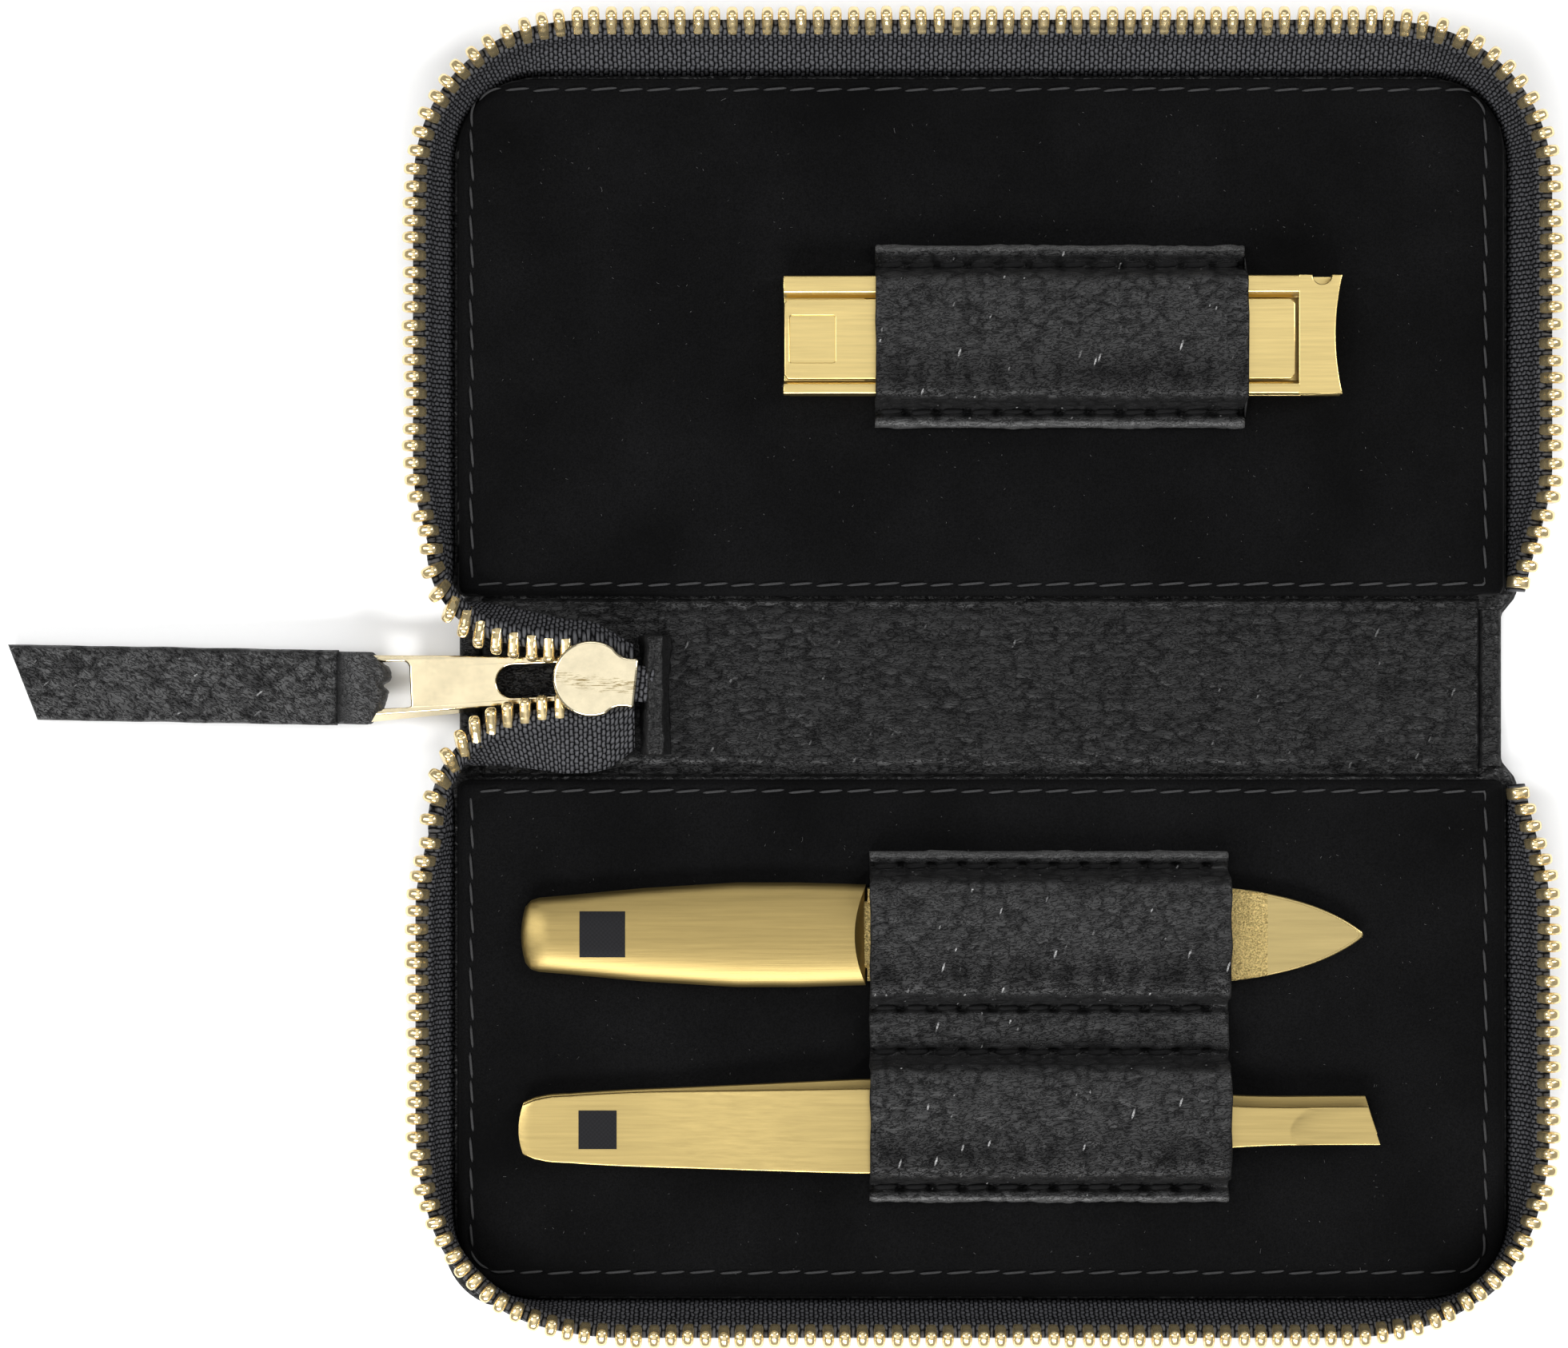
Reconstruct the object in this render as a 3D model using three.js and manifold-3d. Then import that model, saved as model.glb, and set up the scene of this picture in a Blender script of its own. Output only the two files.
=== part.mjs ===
// A zip-around manicure case, laid open: two stiff leather halves on a soft spine, a brass zip standing
// up round three sides of each half, and three tools held under leather loops.
// Millimetres. X runs along the spine, +Y towards the half that holds the clipper, +Z up.
// The origin is the middle of the spine's underside, which lies on the table.
import * as THREE from "three";
import { mergeVertices } from "three/addons/utils/BufferGeometryUtils.js";
import Module from "manifold-3d";

const wasm = await Module();
wasm.setup();

// Driving dimensions of the case
const panelLength = 114.4; // a lining panel along X
const panelDepth = 56.5; // a lining panel from the spine outwards
const panelCornerRadius = 9;
const panelInnerCornerRadius = 1.5;
const spineWidth = 17.4; // fold line to fold line, the thickness that the closed case holds
const spineLength = 114;
const coverMargin = 1.6; // leather outside the panel, under the zip
const coverCornerRadius = 11;

// Layers, from the table up
const coverThickness = 1.2;
const boardThickness = 1.2;
const liningThickness = 1.4;
const spineLiningThickness = 1.1;
const foldGap = 0.3; // the slit left at each fold, which the leather bridges on the real case
const panelFoldGap = 1.3; // fold line to the nearest edge of a lining panel
const boardInset = 0.2; // the board's edge inside the lining's edge
const edgeRounding = 0.4;
const liningRounding = 0.5;
const hemWidth = 2.2; // the turned edge at each end of the spine
const hemThickness = 1.15;

// Zip tape and teeth
const tapeWidth = 4.8; // seam to the corded edge
const tapeThickness = 0.8;
const tapeSeamGap = 0.6; // panel edge to the middle of the tape
const tapeLift = 0.35; // cover to the tape's lower edge
const upperSideLean = 4.3; // how far the teeth stand outside the tape's foot at the short sides
const lowerSideLean = 3.9;
const upperFarLean = 6.4; // and along the far side
const lowerFarLean = 3.4;
const toothTipRadius = 18.5; // corners of the line of the teeth's tips
const toothPitch = 1.87;
const toothWidth = 1.05;
const toothLength = 3.4;
const toothLegHalf = 0.95;
const toothHeadHalf = 0.85;
const cordHalf = 0.45;
const cordHeight = 1.7;
const cordStart = 0.2;
const toothClearance = 0.3; // tape edge to the foot of a tooth
const leanStart = 7; // distance from the spine's middle where the zip starts to lean out
const leanFull = 24;
const lowEndShare = 0.5; // the tape's width at the spine as a share of its full width
const bendSplit = 16; // distance from the spine's middle where the standing zip ends on the left
const zipRightEnd = 10.5;
const stopWidth = 1.6;
const stopClearance = 0.25;
const stopHalf = 1.05;
const stopHeight = 2.6;

// Bend of the zip from the standing part to the slider's mouth
const bendEntryOffset = 5.2; // corded edge from the zip's middle line at the mouth
const upperWaistOffset = 3.2; // and beside the slider's tail, which points a little downwards
const lowerWaistOffset = 4.2;
const bendGap = 0.3;
const bendXShares = [0, 0.08, 0.3, 0.62, 1]; // way of the corded edge towards the mouth
const bendYShares = [0.82, 0.5, 0.2, 0.06, 0];
const bendFootXShares = [0, 0, 0.3, 0.64, 1]; // way of the tape's foot, round the panel's corner
const bendFootYShares = [0.55, 0.05, 0, 0, 0];
const bendTipShares = [0.15, 0.42, 0.72, 0.95, 1]; // how far the teeth have tipped over
const upperHangShare = 1.2; // fall of the tape beside the slider for each millimetre outwards
const lowerHangShare = 0.62;

// Slider, parked at the left end of the spine with its inner plate up and its bail under it
const zipMiddle = 1; // the zip's middle line beside the spine's middle line
const sliderSetback = 14.9; // end of the lining panels to the middle of the slider's head
const sliderTurn = -6; // degrees, seen from above
const sliderHeadRadius = 4.1;
const sliderTailLength = 4.9;
const sliderTailHalf = 2.75;
const sliderShoulder = 60; // degrees of the round head on either side of its nose
const sliderNeckHalf = 2.4;
const sliderNeckX = 2.9;
const sliderPlate = 0.9;
const sliderChannel = 2.4;
const sliderBevel = 0.2;
const sliderPostRadius = 0.95;
const sliderPostX = -1.1;
const flangeThickness = 0.5;
const flangeDepth = 0.6;
const flangeLength = 3.4;
const bailHeight = 2.4; // outer plate to the underside of the bail
const bailBar = 0.6;
const bailWidth = 1.7;
const bailFrontX = -3.9;
const bailLength = 4.3;
const bailFoot = 0.8;
const bailClearance = 0.3;
const entryToothX = -2.7; // the last tooth, from the slider's head

// Pull and its leather strap
const pullThickness = 1.2;
const pullLength = 24.5;
const pullTipWidth = 7.4;
const pullRootWidth = 5.2;
const pullPitch = 2.6;
const pullYaw = 2.6;
const pullEdge = 1.05; // the bar behind the window, which lies in the bail
const pullWindowLength = 8.2;
const pullWindowWidth = 3.4;
const pullWindowCorner = 1.6;
const pullSlotLength = 3.9;
const pullSlotWidth = 5.4;
const pullTipBar = 1.9;
const pullCorner = 0.9;
const strapLength = 39.5;
const strapWidth = 8.3;
const strapNeckWidth = 4.7;
const strapThickness = 2.1;
const strapEyeRadius = 2.4;
const strapHoleRadius = 1.42;
const strapEyeLie = 30; // degrees from the strap's middle to where its fold begins
const strapShoulder = 3; // bar to where the strap has widened
const strapSkew = 3.4; // how far the slanted end is cut back
const sideTrim = 0.05; // shaved off a side that another cut runs along
const strapEndTrim = 0.3;
const strapYaw = -1;
const strapDroop = 1.6; // fall of the strap towards the table

// Keeper that holds the tape ends down
const keeperSetback = 6.9; // slider's head to the middle of the keeper
const keeperLength = 11.6;
const keeperMiddleY = -0.1;
const keeperWidth = 2.2;
const keeperFootWidth = 3.4;
const keeperHeight = 5.6;
const tailThickness = 1.4;
const tailWidth = 3.9;
const tailStartX = 1.3; // from the slider's head
const tailSeat = 0.9; // how deep the tail sits in the keeper
const tailClearance = 0.15;

// Tools
const toolRest = 0.15; // lining to the underside of a tool
const fileLength = 91;
const fileLeftX = -49.6;
const fileY = -26.8;
const fileBladeThickness = 1;
const fileBladeWidth = 10.1;
const fileTipLength = 14.5;
const fileTipFullShare = 0.8; // fullness of the curve to the point
const fileTipTurnShare = 0.33; // where that curve turns in, as a share of the tip's length
const fileTipBlunt = 0.25;
const fileHandleLength = 37;
const fileHandleWidth = 11.3; // at its widest
const fileHandleEndWidth = 8;
const fileHandleFrontWidth = 10.9;
const fileHandleSwell = 12.3; // the width that its long sides curve towards
const fileHandleSwellShare = 0.55;
const fileEndCorner = 1.7;
const fileEndBulge = 0.5;
const fileHandleHeight = 2.8;
const fileHandleSide = 0.9;
const fileHandleHollow = 1.6; // depth of the hollow front end
const fileSheet = 0.6;
const fileFit = 0.15;
const fileTangWidth = 7.2;
const fileTangSetback = 2.6;
const tweezersLength = 92.8;
const tweezersLeftX = -49.8;
const tweezersY = -47.9;
const armThickness = 0.9;
const armWidth = 9.3;
const armEndWidth = 7;
const armEndCorner = 1.4;
const armEndBulge = 0.4;
const armTipWidth = 4.3;
const armNeckWidth = 4.1;
const armNeckShare = 0.84; // place along an arm where it has narrowed
const armWeldLength = 9;
const armBow = 2.15; // widest gap between the arms
const armBowX = 30;
const armTipGap = 1.7;
const armWaistShare = 0.42; // place of the widest part along an arm
const armRiseShare = 0.75; // how far the bow has opened halfway to its top
const armTipSlant = 1.3;
const armSkew = 0.7; // the lower arm stands this far to one side
const clipperLength = 60.6;
const clipperLeftX = -21.7;
const clipperY = 38.2;
const clipperWidth = 12.9;
const clipperSheet = 0.9;
const clipperRailWidth = 1.9;
const clipperRailHeight = 2.05;
const clipperHeadLength = 4.9;
const clipperBite = 1.5; // height of the lower cutting edge
const clipperBiteLength = 8.5;
const clipperBladeSag = 1; // depth of the hollow cutting edge
const clipperJawGap = 0.15;
const clipperOpening = 1; // degrees between the jaws at rest
const clipperNotchRadius = 1.1;
const clipperNotchFromTip = 2.2;
const clipperFloorLength = 9;
const clipperCorner = 0.8;
const leverThickness = 1;
const leverFit = 0.35;
const leverShift = 0.45; // the lever and its window lie this far towards the spine
const leverBadge = 4.9;
const leverBadgeDepth = 0.3;
const leverBadgeInset = 1;
const pinRadius = 0.6;
const pinFromTip = 6.4;
const pinFit = 0.25;
const pinRecess = 1;
const rivetRadius = 0.9;
const rivetFit = 0.12;
const rivetFromEnd = 4.5;

// Leather loops
const loopLeather = 1.1;
const clipperLoopLeft = -11.6;
const clipperLoopLength = 40.2;
const clipperLoopWidth = 19.8;
const twinLoopFromHandle = 0.4; // front end of the file's handle to the loop
const twinLoopLength = 39;
const twinLoopNear = -17.8;
const twinLoopWidth = 38.1;
const loopSlack = 0.4;
const loopSideSlack = 1;
const loopShoulder = 1.1;
const loopWallShare = 0.55; // height of a loop's side under its shoulder, as a share of its rise

const cutOverrun = 1;
const postSides = 12;
const pinSides = 16;
const bendTapeSteps = 22;
const curveSteps = 6; // straight pieces that a curve is made of
const toolCurveSteps = 8;
const strapCurveSteps = 9;
const pullCurveSteps = 3;
const weld = 1e-4;
const half = 2;
const materials = {
  leather: new THREE.MeshStandardMaterial({ color: 0x17171a, roughness: 0.55, metalness: 0 }),
  board: new THREE.MeshStandardMaterial({ color: 0x6b5a45, roughness: 0.9, metalness: 0 }),
  velvet: new THREE.MeshStandardMaterial({ color: 0x0b0b0c, roughness: 1, metalness: 0 }),
  tape: new THREE.MeshStandardMaterial({ color: 0x1b1c21, roughness: 0.85, metalness: 0 }),
  brass: new THREE.MeshStandardMaterial({ color: 0xd8b767, roughness: 0.25, metalness: 1 }),
  gold: new THREE.MeshStandardMaterial({ color: 0xc8ab62, roughness: 0.35, metalness: 1 }),
};

const group = new THREE.Group();

// Adds one named piece, at a place in its parent
function piece(name, geometry, material, parent = group) {
  const mesh = new THREE.Mesh(geometry, material);
  mesh.name = name;
  parent.add(mesh);
  return mesh;
}

// A closed geometry as a solid that can be joined and cut
function solid(geometry) {
  const bare = geometry.index ? geometry.toNonIndexed() : geometry.clone();
  bare.deleteAttribute("normal");
  bare.deleteAttribute("uv");
  const merged = mergeVertices(bare, weld);
  return new wasm.Manifold(
    new wasm.Mesh({
      numProp: 3,
      vertProperties: merged.attributes.position.array,
      triVerts: new Uint32Array(merged.index.array),
    }),
  );
}

function geometryOf(manifold) {
  const mesh = manifold.getMesh();
  return new THREE.BufferGeometry()
    .setAttribute("position", new THREE.BufferAttribute(new Float32Array(mesh.vertProperties), 3))
    .setIndex(new THREE.BufferAttribute(new Uint32Array(mesh.triVerts), 1));
}

function box(x0, x1, y0, y1, z0, z1) {
  return new THREE.BoxGeometry(x1 - x0, y1 - y0, z1 - z0).translate(
    (x0 + x1) / half,
    (y0 + y1) / half,
    (z0 + z1) / half,
  );
}

// A flat outline raised from z0 by a thickness, with its edges rounded over if asked
function plate(shape, z0, thickness, rounding = 0, steps = curveSteps) {
  const geometry = new THREE.ExtrudeGeometry(shape, {
    depth: thickness - half * rounding,
    bevelEnabled: rounding > 0,
    bevelThickness: rounding,
    bevelSize: rounding,
    bevelOffset: -rounding,
    bevelSegments: 1,
    curveSegments: steps,
  });
  return geometry.translate(0, 0, z0 + rounding);
}

// A section in Y and Z drawn out along X
function drawnAlongX(shape, x0, length, steps = curveSteps) {
  return new THREE.ExtrudeGeometry(shape, { depth: length, bevelEnabled: false, curveSegments: steps })
    .rotateX(Math.PI / half)
    .rotateZ(Math.PI / half)
    .translate(x0, 0, 0);
}

// Joins rings of points into one closed skin; the ends are capped by the section's own triangles
function loft(rings, section) {
  const count = section.length;
  const position = rings.flatMap((ring) => ring.flatMap((p) => [p.x, p.y, p.z]));
  const index = [];
  for (let i = 0; i + 1 < rings.length; i += 1) {
    for (let j = 0; j < count; j += 1) {
      const a = i * count + j;
      const b = i * count + ((j + 1) % count);
      index.push(a, b, b + count, a, b + count, a + count);
    }
  }
  const last = (rings.length - 1) * count;
  for (const [a, b, c] of THREE.ShapeUtils.triangulateShape(section, [])) {
    index.push(c, b, a, last + a, last + b, last + c);
  }
  const geometry = new THREE.BufferGeometry()
    .setAttribute("position", new THREE.BufferAttribute(new Float32Array(position), 3))
    .setIndex(index);
  return volume(geometry) < 0 ? turned(geometry) : geometry;
}

function volume(geometry) {
  const at = (k) => new THREE.Vector3().fromBufferAttribute(geometry.attributes.position, k);
  const index = geometry.index.array;
  let sum = 0;
  for (let i = 0; i < index.length; i += 3) {
    sum += at(index[i]).dot(at(index[i + 1]).cross(at(index[i + 2])));
  }
  return sum;
}

function turned(geometry) {
  const index = Array.from(geometry.index.array);
  for (let i = 0; i < index.length; i += 3) {
    [index[i + 1], index[i + 2]] = [index[i + 2], index[i + 1]];
  }
  return geometry.setIndex(index);
}

function smooth(from, to, value) {
  const t = THREE.MathUtils.clamp((value - from) / (to - from), 0, 1);
  return t * t * (3 - 2 * t);
}

// Leather cover, board and lining of one half; side is +1 for the clipper's half and -1 for the other
const foldY = spineWidth / half;
const sliderHeadX = -panelLength / half + sliderSetback;
const keeperX = sliderHeadX + keeperSetback;
const panelNear = foldY + panelFoldGap;
const panelFar = panelNear + panelDepth;
const boardTop = coverThickness + boardThickness;
const liningTop = boardTop + liningThickness;

// A rectangle from near to far with its own corner radii on each side
function halfOutline(halfLength, near, far, nearRadius, farRadius, side) {
  const shape = new THREE.Shape();
  const quarter = (side * Math.PI) / half;
  shape.moveTo(-halfLength + nearRadius, side * near);
  shape.lineTo(halfLength - nearRadius, side * near);
  shape.quadraticCurveTo(halfLength, side * near, halfLength, side * (near + nearRadius));
  shape.lineTo(halfLength, side * (far - farRadius));
  shape.absarc(halfLength - farRadius, side * (far - farRadius), farRadius, 0, quarter, side < 0);
  shape.lineTo(-halfLength + farRadius, side * far);
  shape.absarc(
    -halfLength + farRadius,
    side * (far - farRadius),
    farRadius,
    quarter,
    side * Math.PI,
    side < 0,
  );
  shape.lineTo(-halfLength, side * (near + nearRadius));
  shape.quadraticCurveTo(-halfLength, side * near, -halfLength + nearRadius, side * near);
  return shape;
}

function halfLayers(name, side) {
  const halfPanel = panelLength / half;
  const cover = halfOutline(
    halfPanel + coverMargin,
    foldY + foldGap / half,
    panelFar + coverMargin,
    panelInnerCornerRadius,
    coverCornerRadius,
    side,
  );
  piece(`${name}_cover`, plate(cover, 0, coverThickness, edgeRounding), materials.leather);
  const board = halfOutline(
    halfPanel - boardInset,
    panelNear + boardInset,
    panelFar - boardInset,
    panelInnerCornerRadius,
    panelCornerRadius,
    side,
  );
  piece(`${name}_board`, plate(board, coverThickness, boardThickness), materials.board);
  const lining = halfOutline(halfPanel, panelNear, panelFar, panelInnerCornerRadius, panelCornerRadius, side);
  piece(`${name}_lining`, plate(lining, boardTop, liningThickness, liningRounding), materials.velvet);
}
halfLayers("upper", 1);
halfLayers("lower", -1);

// Spine: the outer leather with its turned ends, and the leather strip that lines it
const spineHalf = spineLength / half;
const spineHalfWidth = (spineWidth - foldGap) / half;
function spineCover() {
  let made = solid(box(-spineHalf, spineHalf, -spineHalfWidth, spineHalfWidth, 0, coverThickness));
  for (const side of [-1, 1]) {
    const outer = side * spineHalf;
    const inner = side * (spineHalf - hemWidth);
    const hem = box(
      Math.min(outer, inner),
      Math.max(outer, inner),
      -spineHalfWidth,
      spineHalfWidth,
      coverThickness - edgeRounding,
      coverThickness + hemThickness,
    );
    made = made.add(solid(hem));
  }
  return geometryOf(made);
}
piece("spine_cover", spineCover(), materials.leather);
const spineLiningHalf = spineHalf - hemWidth - foldGap / half;
piece(
  "spine_lining",
  box(
    -spineLiningHalf,
    spineLiningHalf,
    -spineHalfWidth,
    spineHalfWidth,
    coverThickness,
    coverThickness + spineLiningThickness,
  ),
  materials.leather,
);
const spineTop = coverThickness + spineLiningThickness;

// The standing zip of one half. Its foot follows the panel's edge and its tips a rounder, wider line;
// the tape keeps its width, so it stands lower where it leans out further.
const tapeFootHalf = panelLength / half + tapeSeamGap;
const seamFar = panelFar + tapeSeamGap;
const seamRadius = panelCornerRadius + tapeSeamGap;
const tapeFootZ = coverThickness + tapeLift;
const toothSetOff = toothClearance;

// A point on a rounded three-sided line: 0 to 1 up the left side, 2 and 4 are the corners' ends
function threeSided(t, halfLength, far, radius, start, end) {
  const leg = Math.min(Math.floor(t), 4);
  const part = t - leg;
  const left = -halfLength + radius;
  const turn = (part * Math.PI) / half;
  if (leg === 0) return [-halfLength, THREE.MathUtils.lerp(start, far - radius, part)];
  if (leg === 1) return [left - radius * Math.cos(turn), far - radius + radius * Math.sin(turn)];
  if (leg === 2) return [THREE.MathUtils.lerp(left, -left, part), far];
  if (leg === 3) return [-left + radius * Math.sin(turn), far - radius + radius * Math.cos(turn)];
  return [halfLength, THREE.MathUtils.lerp(far - radius, end, part)];
}

// The seam's nearest point to a place outside it; the seam is a rounded rectangle round the panel
function seamBeside(x, y) {
  const coreX = Math.sign(x) * Math.min(Math.abs(x), tapeFootHalf - seamRadius);
  const coreY = Math.min(y, seamFar - seamRadius);
  const reach = Math.hypot(x - coreX, y - coreY) / seamRadius;
  return [coreX + (x - coreX) / reach, coreY + (y - coreY) / reach];
}

// Foot, corded edge and direction of the teeth at one place along a half's zip
function standingStation(t, side, sideLean, farLean) {
  const [wideX, tipY] = threeSided(
    t,
    tapeFootHalf + sideLean,
    seamFar + farLean,
    toothTipRadius,
    bendSplit,
    zipRightEnd,
  );
  const lean = smooth(leanStart, leanFull, tipY);
  const tipX = wideX - Math.sign(wideX) * sideLean * (1 - lean);
  const [footX, footY] = seamBeside(tipX, tipY);
  const width = tapeWidth * THREE.MathUtils.lerp(lowEndShare, 1, lean);
  const slant = width + toothSetOff + toothLength;
  const across = Math.hypot(tipX - footX, tipY - footY);
  const rise = Math.sqrt(slant * slant - across * across);
  const foot = new THREE.Vector3(footX, side * footY, tapeFootZ);
  const tip = new THREE.Vector3(tipX, side * tipY, tapeFootZ + rise);
  const up = tip.clone().sub(foot).normalize();
  return { foot, edge: foot.clone().addScaledVector(up, width), up };
}

// Samples a station function densely, so that places can be found by length along the corded edge
function line(station, from, to, steps) {
  const made = [];
  let length = 0;
  for (let i = 0; i <= steps; i += 1) {
    const here = station(THREE.MathUtils.lerp(from, to, i / steps));
    if (i > 0) length += here.edge.distanceTo(made[i - 1].edge);
    made.push({ ...here, length });
  }
  return made;
}

function along(stations, length) {
  let i = 1;
  while (i < stations.length - 1 && stations[i].length < length) i += 1;
  const [a, b] = [stations[i - 1], stations[i]];
  const t = (length - a.length) / (b.length - a.length);
  const up = a.up.clone().lerp(b.up, t).normalize();
  const forward = b.edge.clone().sub(a.edge).normalize();
  return {
    foot: a.foot.clone().lerp(b.foot, t),
    edge: a.edge.clone().lerp(b.edge, t),
    up,
    out: forward.cross(up).normalize(),
  };
}

// The woven tape as a thin strip from its foot to its corded edge
function tapeStrip(stations, lengths) {
  const bend = tapeThickness / half;
  const section = [
    [-bend, 0],
    [bend, 0],
    [bend, 1],
    [-bend, 1],
  ].map(([x, y]) => new THREE.Vector2(x, y));
  const rings = lengths.map((length) => {
    const { foot, edge, out } = along(stations, length);
    return section.map((p) => foot.clone().lerp(edge, p.y).addScaledVector(out, p.x));
  });
  return loft(rings, section);
}

// The corded edge with its row of teeth, as one comb
const cordSection = [
  [-cordHalf, cordStart],
  [cordHalf, cordStart],
  [cordHalf, cordHeight],
  [-cordHalf, cordHeight],
].map(([x, y]) => new THREE.Vector2(x, y));
const toothSection = [
  [-toothLegHalf, 0],
  [toothLegHalf, 0],
  [toothHeadHalf, toothLength],
  [-toothHeadHalf, toothLength],
].map(([x, y]) => new THREE.Vector2(x, y));

function comb(stations, first, last) {
  const rings = [];
  const ring = (section, length) => {
    const { edge, up, out } = along(stations, length);
    const origin = edge.clone().addScaledVector(up, toothSetOff);
    rings.push(section.map((p) => origin.clone().addScaledVector(out, p.x).addScaledVector(up, p.y)));
  };
  const count = Math.floor((last - first - toothWidth) / toothPitch);
  const start = (first + last - count * toothPitch) / half;
  ring(cordSection, first);
  for (let i = 0; i <= count; i += 1) {
    const middle = start + i * toothPitch;
    ring(cordSection, middle - toothWidth / half);
    ring(toothSection, middle - toothWidth / half);
    ring(toothSection, middle + toothWidth / half);
    ring(cordSection, middle + toothWidth / half);
  }
  ring(cordSection, last);
  return loft(rings, cordSection);
}

const denseSteps = 400;
const standingLegs = 5;
const tapeSteps = 48;
function steps(from, to, count) {
  return Array.from({ length: count + 1 }, (_, i) => THREE.MathUtils.lerp(from, to, i / count));
}

function standingZip(name, side, sideLean, farLean) {
  const station = (t) => standingStation(t, side, sideLean, farLean);
  const stations = line(station, 0, standingLegs, denseSteps);
  const total = stations.at(-1).length;
  piece(`${name}_zip_tape`, tapeStrip(stations, steps(0, total, tapeSteps)), materials.tape);
  const stopStart = total - stopWidth;
  piece(`${name}_zip_teeth`, comb(stations, 0, stopStart - stopClearance), materials.brass);
  const stopSection = [
    [-stopHalf, 0],
    [stopHalf, 0],
    [stopHalf, stopHeight],
    [-stopHalf, stopHeight],
  ].map(([x, y]) => new THREE.Vector2(x, y));
  const rings = [stopStart, total].map((length) => {
    const { edge, up, out } = along(stations, length);
    const origin = edge.clone().addScaledVector(up, toothSetOff);
    return stopSection.map((p) => origin.clone().addScaledVector(out, p.x).addScaledVector(up, p.y));
  });
  piece(`${name}_top_stop`, loft(rings, stopSection), materials.brass);
  return stations[0];
}
const upperBendStart = standingZip("upper", 1, upperSideLean, upperFarLean);
const lowerBendStart = standingZip("lower", -1, lowerSideLean, lowerFarLean);

// The bend of each zip over the fold, from the standing tape to the slider's mouth. The corded edge turns
// in towards the middle line while the teeth tip over from upright to flat.
const bailZ = spineTop + bailClearance;
const outerPlateZ = bailZ + bailHeight;
const channelZ = outerPlateZ + sliderPlate;
const innerPlateZ = channelZ + sliderChannel;
const chainZ = (channelZ + innerPlateZ) / half;
const entryX = sliderHeadX + entryToothX;
const tapeEndX = keeperX - keeperFootWidth / half - tapeSeamGap;

function bendStations(start, side, hangShare, waistOffset) {
  const entryY = zipMiddle + side * bendEntryOffset;
  const flat = new THREE.Vector3(0, -side, 0);
  const fall = new THREE.Vector3(0, side, -hangShare).setLength(tapeWidth);
  const entry = new THREE.Vector3(entryX, entryY, chainZ);
  const entryFoot = entry.clone().add(fall);
  const edges = [start.edge];
  const ups = [start.up];
  const feet = [start.foot];
  bendTipShares.forEach((tipped, i) => {
    edges.push(
      new THREE.Vector3(
        THREE.MathUtils.lerp(start.edge.x, entry.x, bendXShares[i]),
        THREE.MathUtils.lerp(entry.y, start.edge.y, bendYShares[i]),
        THREE.MathUtils.lerp(start.edge.z, entry.z, tipped),
      ),
    );
    ups.push(start.up.clone().lerp(flat, tipped).normalize());
    feet.push(
      new THREE.Vector3(
        THREE.MathUtils.lerp(start.foot.x, entryFoot.x, bendFootXShares[i]),
        THREE.MathUtils.lerp(entryFoot.y, start.foot.y, bendFootYShares[i]),
        THREE.MathUtils.lerp(start.foot.z, entryFoot.z, tipped),
      ),
    );
  });
  const teethEnd = edges.length - 1;
  for (const [x, offset] of [
    [sliderHeadX, bendEntryOffset],
    [tapeEndX, waistOffset],
  ]) {
    const edge = new THREE.Vector3(x, zipMiddle + side * offset, chainZ);
    edges.push(edge);
    ups.push(flat);
    feet.push(edge.clone().add(fall));
  }
  const [edgeCurve, upCurve, footCurve] = [edges, ups, feet].map((list) => new THREE.CatmullRomCurve3(list));
  const station = (t) => ({
    edge: edgeCurve.getPoint(t),
    up: upCurve.getPoint(t).normalize(),
    foot: footCurve.getPoint(t),
  });
  const stations = line(station, 0, 1, denseSteps);
  const teethLength = stations[Math.round((denseSteps * teethEnd) / (edges.length - 1))].length;
  return { stations, teethLength };
}

function bend(name, start, side, hangShare, waistOffset) {
  const { stations, teethLength } = bendStations(start, side, hangShare, waistOffset);
  const total = stations.at(-1).length;
  piece(`${name}_bend_tape`, tapeStrip(stations, steps(bendGap, total, bendTapeSteps)), materials.tape);
  piece(`${name}_bend_teeth`, comb(stations, bendGap, teethLength + toothWidth / half), materials.brass);
}
bend("upper", upperBendStart, 1, upperHangShare, upperWaistOffset);
bend("lower", lowerBendStart, -1, lowerHangShare, lowerWaistOffset);

// Slider: two plates held apart by the post that parts the rows of teeth, with lips along the sides
function sliderOutline() {
  const shape = new THREE.Shape();
  const shoulder = THREE.MathUtils.degToRad(sliderShoulder);
  const [sx, sy] = [sliderHeadRadius * Math.cos(shoulder), sliderHeadRadius * Math.sin(shoulder)];
  shape.moveTo(sliderTailLength, -sliderTailHalf);
  shape.lineTo(sliderTailLength, sliderTailHalf);
  shape.quadraticCurveTo(sliderNeckX, sliderNeckHalf, sx, sy);
  shape.absarc(0, 0, sliderHeadRadius, shoulder, -shoulder, false);
  shape.quadraticCurveTo(sliderNeckX, -sliderNeckHalf, sliderTailLength, -sliderTailHalf);
  return shape;
}

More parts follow.
